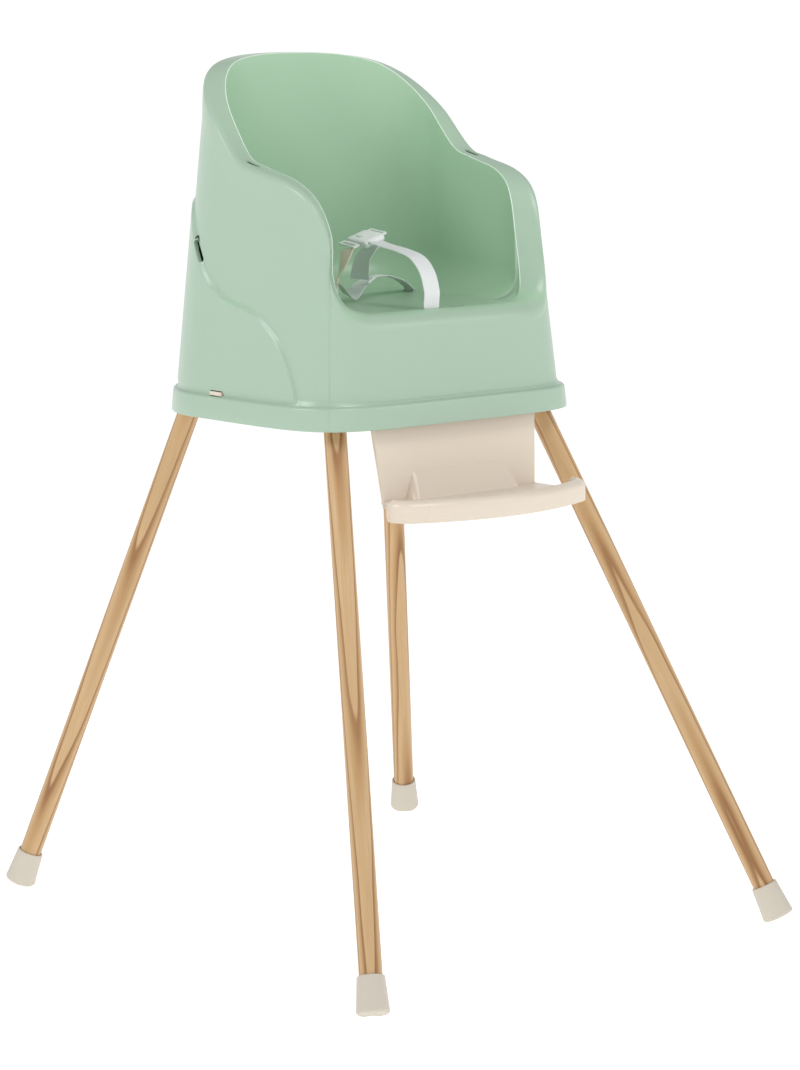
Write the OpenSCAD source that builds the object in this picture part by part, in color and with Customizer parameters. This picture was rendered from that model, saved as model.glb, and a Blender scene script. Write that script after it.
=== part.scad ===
// High chair for a baby: a moulded booster seat that stands on a frame with
// four splayed wooden legs, a clip-in footrest and a three-point harness.
// Millimetres. The floor is z = 0, +Z is up, the chair faces -Y, +X is to
// the right seen from behind the front edge. The chair is mirror-symmetric
// about X = 0, apart from how the harness lies.

/* [Stand] */
// Distance between the left and the right feet
foot_span_x = 536; // [500:2:570]
// Distance between the front and the rear feet
foot_span_y = 636; // [600:2:660]
// Distance between the left and the right legs where they pass the skirt
leg_gap_x = 265; // [250:1:272]
// How far in front of the origin the front legs pass the skirt
front_leg_y = 87; // [80:1:90]
// How far behind the origin the rear legs pass the skirt
rear_leg_y = 166; // [150:1:170]
// Diameter of a wooden leg
leg_d = 23; // [21:0.5:24]
// Length of a rubber foot cap
cap_len = 37; // [30:1:45]
// Diameter of a rubber foot cap at its top
cap_top_d = 27.6; // [27:0.1:29]
// Diameter of a rubber foot cap at its sole
cap_sole_d = 33; // [31:0.5:36]
// How deep the flat of each sole is worn or cut into its rounded edge
sole_flat = 1.2; // [0.8:0.1:1.6]

/* [Seat shell] */
// Height of the lower edge of the seat above the floor
skirt_z = 533; // [500:1:560]
// Half of the seat's width at the lower edge
half_w = 184; // [180:1:188]
// From the widest line to the front wall, at the lower edge
front_len = 204; // [200:1:206]
// From the widest line to the back wall, at the lower edge
rear_len = 141.5; // [138:0.5:145]
// Squareness of the front corners in plan: 2 is an ellipse
front_square = 5.7; // [4:0.1:7]
// Thickness of the moulding
wall = 3; // [2.5:0.1:3.5]
// Width of the level band along the top edge
band_w = 23; // [21:0.5:25]
// Height of the seat's front lip above the lower edge
lip_h = 114; // [110:1:118]
// How far the pan lies below the front lip
pan_dip = 2.5; // [2:0.1:3.5]

/* [Footrest] */
// Half of the panel's width at its top
panel_half_w = 107; // [100:1:110]
// Half of the tread's width
tread_half_w = 125; // [115:1:130]
// Height of the lower edge of the tread's lip above the floor
tread_z = 446; // [430:1:456]
// Height of the tread's lip
lip_rim_h = 22; // [18:1:26]
// How far the front of the tread lies from the origin
tread_front = 213; // [190:1:216]

/* [Harness] */
// Width of the webbing
web_w = 20; // [18:0.5:21]
// Thickness of the webbing
web_t = 1.5; // [1.2:0.1:1.8]
// How far each tongue pulls out of the buckle
tongue_travel = 18; // [14:1:20]
// How far the release button goes in
button_travel = 2; // [1.5:0.1:2.5]

/* [Latches] */
// How far each seat latch is pressed in
latch_travel = 6; // [5:0.5:6.5]
// Length of each latch tab along the skirt
latch_len = 20; // [16:1:22]

/* [Hidden] */

MINT = [0.70, 0.80, 0.71];
CREAM = [0.90, 0.86, 0.77];
PINE = [0.80, 0.62, 0.40];
RUBBER = [0.90, 0.88, 0.84];
STEEL = [0.72, 0.72, 0.74];
BRASS = [0.78, 0.65, 0.36];
WHITE = [0.95, 0.95, 0.94];

gap = 0.3;
fine = 64;

// ---------------------------------------------------------------- curves

// One span of a Catmull-Rom curve between b and c, at t from 0 to 1
function span(a, b, c, d, t) =
    0.5 * (2 * b + (c - a) * t + (2 * a - 5 * b + 4 * c - d) * t * t
        + (3 * b - a - 3 * c + d) * t * t * t);

// A smooth curve through all the points of p, with n steps in each span
function smooth(p, n) = [
    for (i = [0 : len(p) - 2])
    for (k = [0 : (i == len(p) - 2 ? n : n - 1)])
    span(p[max(i - 1, 0)], p[i], p[i + 1], p[min(i + 2, len(p) - 1)], k / n)
];

function unit(v) = v / norm(v);
function side_of(p, i) =
    let (d = unit(p[min(i + 1, len(p) - 1)] - p[max(i - 1, 0)])) [-d[1], d[0]];

// The outline of a ribbon of thickness t laid along the flat curve p
function ribbon(p, t) = concat(
    [for (i = [0 : len(p) - 1]) p[i] + side_of(p, i) * t / 2],
    [for (i = [len(p) - 1 : -1 : 0]) p[i] - side_of(p, i) * t / 2]);

// ------------------------------------------------------------ seat shell

// The wall is a rounded D in plan. Its front half is squarer than its rear
// half, both narrow a little away from the widest line, and every wall leans
// in towards the top.
widest_y = 80;
side_lean = 0.102;
end_lean = 0.09;
waist = 0.027;
rear_square = 2;

function plan_n(s) = s < 0 ? front_square : rear_square;
function plan_b(s, h) = (s < 0 ? front_len : rear_len) - end_lean * h;

// A point of the wall: q is the direction in degrees around the plan, h is
// the height above the lower edge and inset is how far inside the wall
function wall_point(q, h, inset) =
    let (c = cos(q), s = sin(q), n = plan_n(s),
         r = pow(pow(abs(c), n) + pow(abs(s), n), -1 / n),
         y = (plan_b(s, h) - inset) * r * s,
         x = (half_w - side_lean * h - inset) * r * c * (1 + waist * y / 100))
    [x, widest_y + y, skirt_z + h];

// The direction in which the inner edge of the band passes y at height h
function direction_at(y, h) =
    let (v = (y - widest_y) / (plan_b(y - widest_y, h) - band_w),
         n = plan_n(v),
         u = pow(max(1 - pow(abs(v), n), 0), 1 / n))
    atan2(v, u);

// Side view of the top edge: armrest, dip and backrest, above the lower edge
lip_y = -88;
crest = smooth([
    [lip_y, lip_h], [-79, lip_h + 12], [-71, lip_h + 38], [-66, lip_h + 80],
    [-50, lip_h + 114], [-22, lip_h + 132], [22, lip_h + 143],
    [52, lip_h + 154], [92, lip_h + 198], [131, lip_h + 237],
    [160, lip_h + 252], [190, lip_h + 256]], 5);
back_from = 148;
front_steps = 8;
back_steps = 8;
q_lip = direction_at(lip_y, lip_h);
q_back = direction_at(back_from, lookup(back_from, crest));

// Stations around the right half: [direction, height of the top edge]
half_stations = concat(
    [for (k = [0 : front_steps - 1])
        [-90 + (q_lip + 90) * k / front_steps, lip_h]],
    [for (p = crest) if (p[0] < back_from) [direction_at(p[0], p[1]), p[1]]],
    [for (k = [0 : back_steps])
        let (q = q_back + (90 - q_back) * k / back_steps,
             y = wall_point(q, lip_h + 250, band_w)[1])
        [q, lookup(y, crest)]]);
stations = concat(
    half_stations,
    [for (k = [len(half_stations) - 2 : -1 : 1])
        [180 - half_stations[k][0], half_stations[k][1]]]);

skirt_h = 24;
skirt_out = 5;
pan_h = lip_h - pan_dip;
pan_middle = [0, 20];
dish = 1.5;

// The section of the moulding at one station, from the middle of the pan over
// the band and the outer wall to the lower edge and back underneath. Each
// entry is [inset, height], or [share of the way to the middle, height, 1].
function section(top) =
    let (rise = top - pan_h,
         low = exp(-(rise - pan_dip) / 15),
         ro = 9 + 8 * low,
         w = band_w - low,
         ri = 2 - 1.5 * low,
         fillet = 2 + 48 * (1 - exp(-(rise - pan_dip) / 90)),
         foot = w + 0.05 * (rise - pan_dip),
         roof = top - wall)
    concat(
        [[0.65, pan_h - dish * 0.8, 1], [0.3, pan_h - dish * 0.4, 1]],
        [for (a = [0 : 22.5 : 90])
            [foot + fillet * (1 - sin(a)), pan_h + fillet * (1 - cos(a))]],
        [for (t = [0.33, 0.67])
            [foot + (w - foot) * t,
             pan_h + fillet + (rise - ri - fillet) * t]],
        [[w, top - ri], [w - 0.3 * ri, top - 0.3 * ri], [w - ri, top]],
        [for (a = [0 : 22.5 : 90])
            [ro * (1 - sin(a)), top - ro * (1 - cos(a))]],
        [for (t = [0.33, 0.67]) [0, top - ro - (top - ro - 26) * t]],
        [[0, skirt_h + 2], [-0.6, skirt_h + 0.5], [-2.5, skirt_h],
         [-4.3, skirt_h - 0.8], [-skirt_out, skirt_h - 3],
         [-skirt_out, 1], [-skirt_out + 1, 0],
         [-skirt_out + wall, 0], [-skirt_out + wall, skirt_h - wall - 0.5],
         [wall, skirt_h - wall], [wall, (top - ro) * 0.5 + skirt_h / 2],
         [wall, top - ro], [wall + (ro - wall) * 0.3, roof - (ro - wall) * 0.3],
         [ro, roof], [w - wall, roof],
         [foot - wall, min(pan_h + fillet, roof - 1)]],
        [for (a = [60, 30, 0])
            [foot + fillet - (fillet + wall) * sin(a),
             min(pan_h + fillet - (fillet + wall) * cos(a), roof - 1)]],
        [[0.3, pan_h - wall - dish * 0.4, 1],
         [0.65, pan_h - wall - dish * 0.8, 1]]);

function section_point(s, e, edge) =
    len(e) == 2 ? wall_point(s[0], e[1], e[0])
    : let (o = wall_point(s[0], e[1], edge))
      [o[0] + (pan_middle[0] - o[0]) * e[0],
       o[1] + (pan_middle[1] - o[1]) * e[0], o[2]];

// The closed skin of the moulding before its slots are cut
module shell_body() {
    rows = [for (s = stations)
        let (e = section(s[1]), edge = e[2][0])
        [for (p = e) section_point(s, p, edge)]];
    n = len(rows);
    m = len(rows[0]);
    points = concat([for (r = rows) each r],
        [[pan_middle[0], pan_middle[1], skirt_z + pan_h - dish],
         [pan_middle[0], pan_middle[1], skirt_z + pan_h - dish - wall]]);
    faces = [for (i = [0 : n - 1]) let (j = (i + 1) % n) each concat(
        [[n * m, j * m, i * m], [n * m + 1, i * m + m - 1, j * m + m - 1]],
        [for (k = [0 : m - 2]) each [
            [i * m + k, j * m + k, j * m + k + 1],
            [i * m + k, j * m + k + 1, i * m + k + 1]]])];
    polyhedron(points, faces, convexity = 6);
}

slot_t = 5;
crotch_slot = [16, -97];
waist_slot = [97, 84];
waist_slot_turn = 80;
latch_y = 51;
latch_z = skirt_z + 26.5;

// Long hole for a strap, standing upright through the moulding
module strap_slot(long, deep) {
    cube([long, slot_t, deep], center = true);
}

module seat_shell() {
    color(MINT) difference() {
        shell_body();
        for (s = [-1, 1]) {
            // Two crotch strap slots side by side behind the front lip
            translate([s * crotch_slot[0], crotch_slot[1], skirt_z + lip_h])
                strap_slot(web_w + 3, 20);
            // A waist strap slot in each rear corner of the pan
            translate([s * waist_slot[0], waist_slot[1], skirt_z + pan_h])
                rotate([0, 0, s * waist_slot_turn])
                strap_slot(web_w + 3, 40);
            // A slot in the band behind each armrest
            translate([s * 143.5, 32, skirt_z + 262])
                cube([slot_t, 22, 40], center = true);
            // A slot for the chair belt low on each rear side
            translate([s * 168, 101, skirt_z + 169])
                rotate([51, 0, 0])
                cube([16, 27, 6.2], center = true);
            // The window of the latch, just above the skirt
            translate([s * 179, latch_y, latch_z])
                cube([16, latch_len + 3, 6], center = true);
        }
    }
}

// ------------------------------------------------------------------ legs

leg_r = leg_d / 2;
cap_edge = 3;
leg_corners = [[-1, -1], [1, -1], [-1, 1], [1, 1]];

function leg_top(c) =
    [c[0] * leg_gap_x / 2, c[1] < 0 ? -front_leg_y : rear_leg_y, skirt_z];
// Moves the feet forward a little, so that the outline of the soles is centred
sole_shift = -0.47;
function foot_plan(c) =
    [c[0] * foot_span_x / 2, c[1] * foot_span_y / 2 + sole_shift];
// The lowest point of a tilted sole is its rounded edge: it dips sole_flat
// below the floor before the flat is cut.
function foot_rise(c) =
    let (d = unit(leg_top(c) - [each foot_plan(c), 5]))
    (cap_sole_d / 2 - cap_edge) * sqrt(1 - d[2] * d[2])
        + cap_edge * (1 - d[2]) - sole_flat;
function leg_foot(c) = [each foot_plan(c), foot_rise(c)];
function leg_dir(c) = unit(leg_top(c) - leg_foot(c));

// Moves its children so that local Z runs up the leg from the sole's middle,
// and local X stays close to the chair's own X
module on_leg(c) {
    d = leg_dir(c);
    around = atan2(d[1], d[0]);
    translate(leg_foot(c))
        rotate([0, acos(d[2]), around])
        rotate(-around)
        children();
}

// Distance along the leg from its sole to a level
function leg_reach(c, z) = (z - leg_foot(c)[2]) / leg_dir(c)[2];

leg_end_z = skirt_z + 55;
cap_floor = 4;
insert_r = 5;
insert_len = 18;
bolt_r = 3;
washer_t = 1.5;
socket_wall = 2.2;
socket_roof = 4;

module leg(c) {
    top = leg_reach(c, leg_end_z);
    color(PINE) on_leg(c) difference() {
        translate([0, 0, cap_floor + gap])
            cylinder(r = leg_r, h = top - cap_floor - gap, $fn = fine);
        translate([0, 0, top - insert_len])
            cylinder(r = insert_r, h = insert_len + 1, $fn = fine);
        translate([0, 0, top - insert_len - 12])
            cylinder(r = bolt_r + 0.5, h = 14, $fn = fine);
    }
}

module foot_cap(c) {
    rt = cap_top_d / 2;
    rs = cap_sole_d / 2;
    color(RUBBER) difference() {
        on_leg(c) difference() {
            rotate_extrude($fn = fine) union() {
                polygon([[0, 0], [rs - cap_edge, 0], [rs, cap_edge],
                         [rt, cap_len - 1], [rt - 1, cap_len], [0, cap_len]]);
                translate([rs - cap_edge, cap_edge]) circle(r = cap_edge, $fn = 48);
            }
            translate([0, 0, cap_floor])
                cylinder(r = leg_r + 0.05, h = cap_len, $fn = fine);
        }
        translate([0, 0, -20])
            cube([2000, 2000, 40], center = true);
    }
}

module leg_inserts() {
    color(BRASS) for (c = leg_corners) on_leg(c)
        translate([0, 0, leg_reach(c, leg_end_z) - insert_len])
        difference() {
            cylinder(r = insert_r - 0.02, h = insert_len, $fn = fine);
            translate([0, 0, -1])
                cylinder(r = bolt_r + 0.05, h = insert_len + 2, $fn = fine);
        }
}

// Pan-head bolts go down through the roofs of the sockets into the inserts
module leg_bolts() {
    head_h = 4;
    color(STEEL) for (c = leg_corners) on_leg(c)
        translate([0, 0, leg_reach(c, leg_end_z)]) {
            translate([0, 0, gap + socket_roof + washer_t])
                difference() {
                    cylinder(r = 5.5, h = head_h, $fn = fine);
                    translate([0, 0, head_h - 2.5])
                        cylinder(r = 2.3, h = 3, $fn = 6);
                }
            translate([0, 0, -22])
                cylinder(r = bolt_r, h = 22 + gap + socket_roof + washer_t,
                         $fn = fine);
        }
}

module leg_washers() {
    color(STEEL) for (c = leg_corners) on_leg(c)
        translate([0, 0, leg_reach(c, leg_end_z) + gap + socket_roof])
        difference() {
            cylinder(r = 8, h = washer_t, $fn = fine);
            translate([0, 0, -1])
                cylinder(r = bolt_r + 0.2, h = washer_t + 2, $fn = fine);
        }
}

// ----------------------------------------------------------------- frame

plate_z = skirt_z + 7;
plate_t = 4;
ledge_z = skirt_z + skirt_h - wall - 0.5;

// The plan of the shell at the height of the skirt, set in by some amount
module plan(inset) {
    polygon([for (q = [0 : 4 : 356])
        let (p = wall_point(q, 10, inset)) [p[0], p[1]]]);
}

panel_top_z = skirt_z + 40;
panel_lean = 0.12;
panel_y = -115;
panel_t = 4;
rail_x = 60;
rail_w = 14;
rail_h = 45;

// Guide rails take the panel's two tenons
module footrest_rails() {
    for (s = [-1, 1])
        translate([s * rail_x, -103.5, plate_z + 1 + rail_h / 2])
            cube([rail_w + 8, 15, rail_h], center = true);
}

rib_h = 28;
latch_guide = [26, latch_len + 8, 9];
latch_tab_x = 182;
latch_tab_h = 4;

// The box that guides one latch, open towards the skirt
module latch_guide_box(s) {
    translate([s * 158, latch_y, latch_z]) difference() {
        cube(latch_guide, center = true);
        translate([s * 4, 0, 0])
            cube([latch_guide[0], latch_len + 0.8, latch_tab_h + 0.8], center = true);
    }
    // The pillar that carries it
    translate([s * 158, latch_y, (plate_z + latch_z) / 2 - 1])
        cube([latch_guide[0] - 6, 12, latch_z - plate_z - 6], center = true);
}

// A slanted sleeve for one leg. It passes through the plate and is cut level
// just under it.
module leg_socket(c) {
    low = leg_reach(c, plate_z) - 12;
    end = leg_reach(c, leg_end_z);
    difference() {
        on_leg(c) translate([0, 0, low])
            cylinder(r = leg_r + socket_wall, h = end + gap + socket_roof - low,
                     $fn = fine);
        translate([leg_top(c)[0], leg_top(c)[1], plate_z - 1 - 30])
            cube([80, 80, 60], center = true);
        on_leg(c) translate([0, 0, low - 5])
            cylinder(r = leg_r + 0.1, h = end + gap - low + 5, $fn = fine);
        on_leg(c) translate([0, 0, end - 2])
            cylinder(r = bolt_r + 0.3, h = 20, $fn = fine);
    }
}

// Upright wall under the seat's ledge, which carries the seat. It stops short
// of the sockets.
module ledge_wall() {
    foot = plate_z + plate_t - 1;
    translate([0, 0, foot]) linear_extrude(ledge_z - gap - foot)
        difference() {
            plan(0.8);
            plan(3.8);
            for (c = leg_corners)
                translate([leg_top(c)[0], leg_top(c)[1]])
                square(48, center = true);
        }
}

module stiffening_ribs() {
    for (y = [-77, 159])
        translate([-124, y - 1.5, plate_z + 1]) cube([248, 3, rib_h]);
    for (s = [-1, 1])
        translate([s * 124 - 1.5, -77, plate_z + 1.5]) cube([3, 236, rib_h - 1]);
}

module leg_frame() {
    color(CREAM) {
        difference() {
            union() {
                translate([0, 0, plate_z]) linear_extrude(plate_t) plan(0.5);
                ledge_wall();
                stiffening_ribs();
                footrest_rails();
                for (s = [-1, 1]) latch_guide_box(s);
            }
            // Room for the sleeves, a little smaller than they are
            for (c = leg_corners)
                on_leg(c) translate([0, 0, leg_reach(c, plate_z) - 15])
                cylinder(r = leg_r + 1.2, h = 95, $fn = fine);
            // The rails' channels go down through the plate
            for (s = [-1, 1])
                translate([s * rail_x, -103.5, plate_z + rail_h / 2])
                cube([rail_w + 0.8, 7.8, rail_h + 20], center = true);
        }
        for (c = leg_corners) leg_socket(c);
    }
}

// Latch: a tab that stands out through the window over the skirt's ledge,
// and a bar that slides in the frame's guide against a small spring
module latch(s) {
    color(CREAM) {
        translate([s * (latch_tab_x - 9), latch_y, latch_z])
            cube([18, latch_len, latch_tab_h], center = true);
        translate([s * 163.5, latch_y, latch_z])
            cube([3, latch_len, latch_tab_h], center = true);
    }
}

module latch_spring(s) {
    turns = 4;
    wire = 0.4;
    from_x = 149.5;
    to_x = 161.7;
    color(STEEL)
        for (k = [0 : turns])
            translate([s * (from_x + (to_x - from_x) * (0.06 + 0.88 * k / turns)),
                       latch_y, latch_z])
            rotate([0, 90, 0])
            rotate_extrude($fn = 32)
            translate([1.4, 0]) circle(r = wire, $fn = 16);
}

// -------------------------------------------------------------- footrest

panel_half_low = 99;
tread_t = 4;
tread_back = -158;
tread_corner = 28;
tread_bow = 32;
panel_low_z = tread_z + 6;

function panel_y_at(z) = panel_y - panel_lean * (skirt_z - z);

// Front outline of the tread's right half in plan, from the middle outwards
function tread_edge(inset) =
    let (w = tread_half_w - inset, r = tread_corner - inset,
         front = -tread_front + inset,
         x0 = w - r, y0 = front + tread_bow * (x0 / w) * (x0 / w) + r)
    concat(
        [for (x = [0 : 12 : x0 - 4]) [x, front + tread_bow * (x / w) * (x / w)]],
        [for (a = [-84 : 12 : 0]) [x0 + r * cos(a), y0 + r * sin(a)]],
        [[w, tread_back]]);

module tread_plan(inset) {
    e = tread_edge(inset);
    polygon(concat(
        e, [for (k = [len(e) - 1 : -1 : 1]) [-e[k][0], e[k][1]]]));
}

module footrest() {
    rim = 5;
    floor_z = tread_z + 10;
    color(CREAM) difference() {
        union() {
            // Leaning panel with a tenon at each guide rail
            intersection() {
                translate([0, 0, panel_low_z]) rotate([90, 0, 0])
                    translate([0, 0, -200]) linear_extrude(400)
                    polygon([[-panel_half_low, 0], [panel_half_low, 0],
                             [panel_half_w, skirt_z - panel_low_z + 4],
                             [-panel_half_w, skirt_z - panel_low_z + 4]]);
                rotate([90, 0, 90]) translate([0, 0, -200]) linear_extrude(400)
                    polygon([
                        [panel_y_at(panel_low_z), panel_low_z],
                        [panel_y_at(skirt_z + 4), skirt_z + 4],
                        [panel_y_at(skirt_z + 4) + panel_t, skirt_z + 4],
                        [panel_y_at(panel_low_z) + panel_t, panel_low_z]]);
            }
            for (s = [-1, 1]) {
                // Side flanges
                intersection() {
                    rotate([90, 0, 90]) translate([0, 0, -200]) linear_extrude(400)
                        polygon([
                            [panel_y_at(panel_low_z), panel_low_z],
                            [panel_y_at(skirt_z + 4), skirt_z + 4],
                            [panel_y_at(skirt_z + 4) + 14, skirt_z + 4],
                            [panel_y_at(panel_low_z) + 14, panel_low_z]]);
                    translate([0, 0, panel_low_z]) rotate([90, 0, 0])
                        translate([0, 0, -200]) linear_extrude(400)
                        polygon([[s * (panel_half_low - 3), 0],
                                 [s * panel_half_low, 0],
                                 [s * panel_half_w, skirt_z - panel_low_z + 4],
                                 [s * (panel_half_w - 3), skirt_z - panel_low_z + 4]]);
                }
                translate([s * rail_x - rail_w / 2, -107, skirt_z - 14])
                    cube([rail_w, 7, 54]);
                translate([s * rail_x - rail_w / 2, -115, skirt_z - 14])
                    cube([rail_w, 12, 17]);
            }
            // Tread with its raised lip in front and at both ends
            translate([0, 0, floor_z]) linear_extrude(tread_t) union() {
                tread_plan(1);
                translate([-panel_half_low, -159])
                    square([2 * panel_half_low, 40]);
            }
            translate([0, 0, tread_z]) linear_extrude(lip_rim_h)
                difference() {
                    tread_plan(0);
                    tread_plan(rim);
                    translate([-tread_half_w + rim, tread_back - 8])
                        square([2 * (tread_half_w - rim), 20]);
                }
            // Heel pad between the panel and the tread
            rotate([90, 0, 0]) translate([0, 0, 112]) linear_extrude(18)
                polygon([[-72, floor_z + 1], [72, floor_z + 1],
                         [54, floor_z + 30], [-54, floor_z + 30]]);
        }
        // The channel behind the heel pad
        translate([0, -100, floor_z + 15]) cube([90, 20, 20], center = true);
    }
}

// --------------------------------------------------------------- harness

// A ribbon of webbing whose middle line runs in the plane x = const
module upright_web(p, w) {
    rotate([90, 0, 90]) translate([0, 0, -w / 2])
        linear_extrude(w) polygon(ribbon(p, web_t));
}

buckle_at = [-16, 11.5, 711];
buckle_roll = -17;
buckle_pitch = 6;
buckle_size = [26, 34, 8];
tongue_t = 2.2;
tongue_w = 16;
tongue_y = 5;

module at_buckle() {
    translate(buckle_at) rotate([buckle_pitch, buckle_roll, 0]) children();
}

module crotch_strap() {
    base = skirt_z + lip_h;
    color(WHITE) translate([-crotch_slot[0], 0, 0])
        upright_web(smooth([
            [-97, base - 12], [-97.5, base + 4], [-98, base + 18],
            [-91, base + 36], [-75, base + 50], [-50, base + 56],
            [-25, base + 59], [-8.5, base + 61.8]], 5), web_w);
}

module crotch_anchor() {
    color(WHITE)
        translate([-crotch_slot[0], crotch_slot[1] + 5, skirt_z + lip_h - 9])
        difference() {
            cube([web_w + 10, 22, 2.5], center = true);
            translate([0, -5, 0]) cube([web_w + 1, web_t + 0.8, 4], center = true);
        }
}

module buckle_body() {
    s = buckle_size;
    color(WHITE) at_buckle() difference() {
        union() {
            cube([s[0], s[1] - 8, s[2]], center = true);
            // Rounded ends of the case
            for (k = [-1, 1]) translate([0, k * (s[1] / 2 - 4), 0])
                rotate([0, 90, 0]) cylinder(r = s[2] / 2, h = s[0],
                                            center = true, $fn = fine);
        }
        // Slots for the tongues and the well of the button
        translate([0, tongue_y, 0])
            cube([s[0] + 2, tongue_w + 0.8, tongue_t + 0.8], center = true);
        translate([0, tongue_y, 3])
            cylinder(r = 5.6, h = 8, center = true, $fn = fine);
    }
}

module buckle_button() {
    color(WHITE) at_buckle() translate([0, tongue_y, 1.7 + button_travel])
        cylinder(r = 5.3, h = buckle_size[2] / 2 - 1.2 - button_travel + 0.8,
                 $fn = fine);
}

// Right-hand tongue; the left-hand one is its mirror image in the buckle. Its
// loop for the webbing stands out of the case.
module tongue(s) {
    loop = 8;
    color(WHITE) at_buckle() translate([s * buckle_size[0] / 2, tongue_y, 0]) {
        translate([s * -4.5, 0, 0])
            cube([12, tongue_w, tongue_t], center = true);
        translate([s * (1.4 + loop / 2), 0, 0]) difference() {
            cube([loop, web_w + 5, tongue_t], center = true);
            translate([s * 0.6, 0, 0])
                cube([3, web_w + 1.2, 10], center = true);
        }
    }
}

// ---- waist straps: a ribbon whose width is level, sent along a 3-D curve
module level_web(p, w, dirs) {
    n = len(p);
    function across(i) = unit(dirs[min(i, len(dirs) - 1)]);
    function lift(i) =
        let (d = unit(p[min(i + 1, n - 1)] - p[max(i - 1, 0)]))
        unit(cross(across(i), d));
    rows = [for (i = [0 : n - 1])
        let (a = across(i) * w / 2, b = lift(i) * web_t / 2)
        [p[i] - a - b, p[i] + a - b, p[i] + a + b, p[i] - a + b]];
    points = [for (r = rows) each r];
    faces = concat(
        [[0, 1, 2], [0, 2, 3]],
        [[4 * n - 2, 4 * n - 3, 4 * n - 4], [4 * n - 1, 4 * n - 2, 4 * n - 4]],
        [for (i = [0 : n - 2]) for (k = [0 : 3])
            let (a = 4 * i + k, b = 4 * i + (k + 1) % 4) each
            [[a, a + 4, b + 4], [a, b + 4, b]]]);
    polyhedron(points, faces, convexity = 4);
}

// A smooth change from direction a to direction b over n + 1 rows
function turn(a, b, n) = [for (k = [0 : n]) a + (b - a) * k / n];

seat_z = skirt_z + lip_h;

// The right waist strap arches from its slot to its slide, and its loose loop
// beyond the slide touches the pan
slide_right_at = [14, 56, 661];
slide_right_run = [-0.88, -0.3, -0.37];
slide_right_across = [-0.3, 0.9, -0.28];
slide_left_at = [-48, 19, 666];
slide_left_run = [0.08, -0.15, 0.98];
slide_left_across = [0.62, 0.78, 0.07];

module waist_strap_right() {
    p = smooth([[97, 84, seat_z - 14], [97.5, 84.2, seat_z - 1],
                [93, 82.6, seat_z + 4], [86.6, 80.5, seat_z + 8],
                [75.6, 76.8, seat_z + 12.6], [62.8, 72.5, seat_z + 16.2],
                [50, 68.2, seat_z + 18.4], [37.3, 63.9, seat_z + 18.7],
                [25.6, 59.9, seat_z + 18.2]], 3);
    n = len(p) - 1;
    color(WHITE)
        level_web(p, web_w, turn([0.17, 0.98, 0], slide_right_across, n));
}

module waist_strap_left() {
    p = smooth([[-97, 84, seat_z - 14], [-97.5, 84.2, seat_z - 1],
                [-94, 79, seat_z + 7], [-86, 66, seat_z + 13],
                [-72, 46, seat_z + 13], [-58, 28, seat_z + 7]], 4);
    n = len(p) - 1;
    color(WHITE)
        level_web(p, web_w, turn([-0.17, 0.98, 0], slide_left_across, n));
}

// Sliding adjuster: a flat frame with a middle bar. Its bars lie across the
// webbing and its sides along it.
module adjuster(at, run, across) {
    y = unit(run);
    z = unit(cross(across, y));
    x = cross(y, z);
    multmatrix([[x[0], y[0], z[0], at[0]], [x[1], y[1], z[1], at[1]],
                [x[2], y[2], z[2], at[2]], [0, 0, 0, 1]])
        difference() {
            cube([web_w + 7, 15, 2.6], center = true);
            for (k = [-1, 1]) translate([0, k * 3.7, 0])
                cube([web_w + 1.6, 3.4, 6], center = true);
        }
}

module adjuster_right() {
    color(WHITE) adjuster(slide_right_at, slide_right_run, slide_right_across);
}

module adjuster_left() {
    color(CREAM) adjuster(slide_left_at, slide_left_run, slide_left_across);
}

// The short tails between the slides and the tongues move with the tongues
module strap_tail_right() {
    p = smooth([[4.5, 16, 713], [3, 19, 706], [-3, 22, 699],
                [-7, 27, 690], [-6, 33, 680], [-3, 39, 672], [1, 44.5, 666.5]], 3);
    n = len(p) - 1;
    color(WHITE)
        level_web(p, web_w, turn([0, 1, 0.1], slide_right_across, n));
}

module strap_tail_left() {
    p = smooth([[-36.5, 16, 701.5], [-40, 14, 695], [-44, 13, 687],
                [-46.5, 15, 680], [-47.3, 17, 675.5]], 4);
    n = len(p) - 1;
    color(WHITE)
        level_web(p, web_w, turn([0, 1, 0.1], slide_left_across, n));
}

module waist_anchors() {
    color(WHITE) for (s = [-1, 1])
        translate([s * waist_slot[0], waist_slot[1], seat_z - 12])
        rotate([0, 0, s * waist_slot_turn]) difference() {
            cube([web_w + 10, 18, 2.5], center = true);
            cube([web_w + 1, web_t + 1.4, 4], center = true);
        }
}

// ------------------------------------------------------------------ show

seat_shell();
leg_frame();
leg(leg_corners[0]);  // leg_front_left
leg(leg_corners[1]);  // leg_front_right
leg(leg_corners[2]);  // leg_rear_left
leg(leg_corners[3]);  // leg_rear_right
foot_cap(leg_corners[0]);  // foot_front_left
foot_cap(leg_corners[1]);  // foot_front_right
foot_cap(leg_corners[2]);  // foot_rear_left
foot_cap(leg_corners[3]);  // foot_rear_right
leg_inserts();
leg_bolts();
leg_washers();
latch(-1);  // latch_left
latch(1);  // latch_right
latch_spring(-1);  // latch_spring_left
latch_spring(1);  // latch_spring_right
footrest();
crotch_strap();
crotch_anchor();
buckle_body();
buckle_button();
tongue(-1);  // tongue_left
tongue(1);  // tongue_right
adjuster_left();
adjuster_right();
waist_strap_left();
waist_strap_right();
strap_tail_left();
strap_tail_right();
waist_anchors();
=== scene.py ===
"""Baby high chair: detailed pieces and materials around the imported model."""

import math

import bmesh
import bpy
import numpy as np
from mathutils import Matrix, Vector


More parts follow.
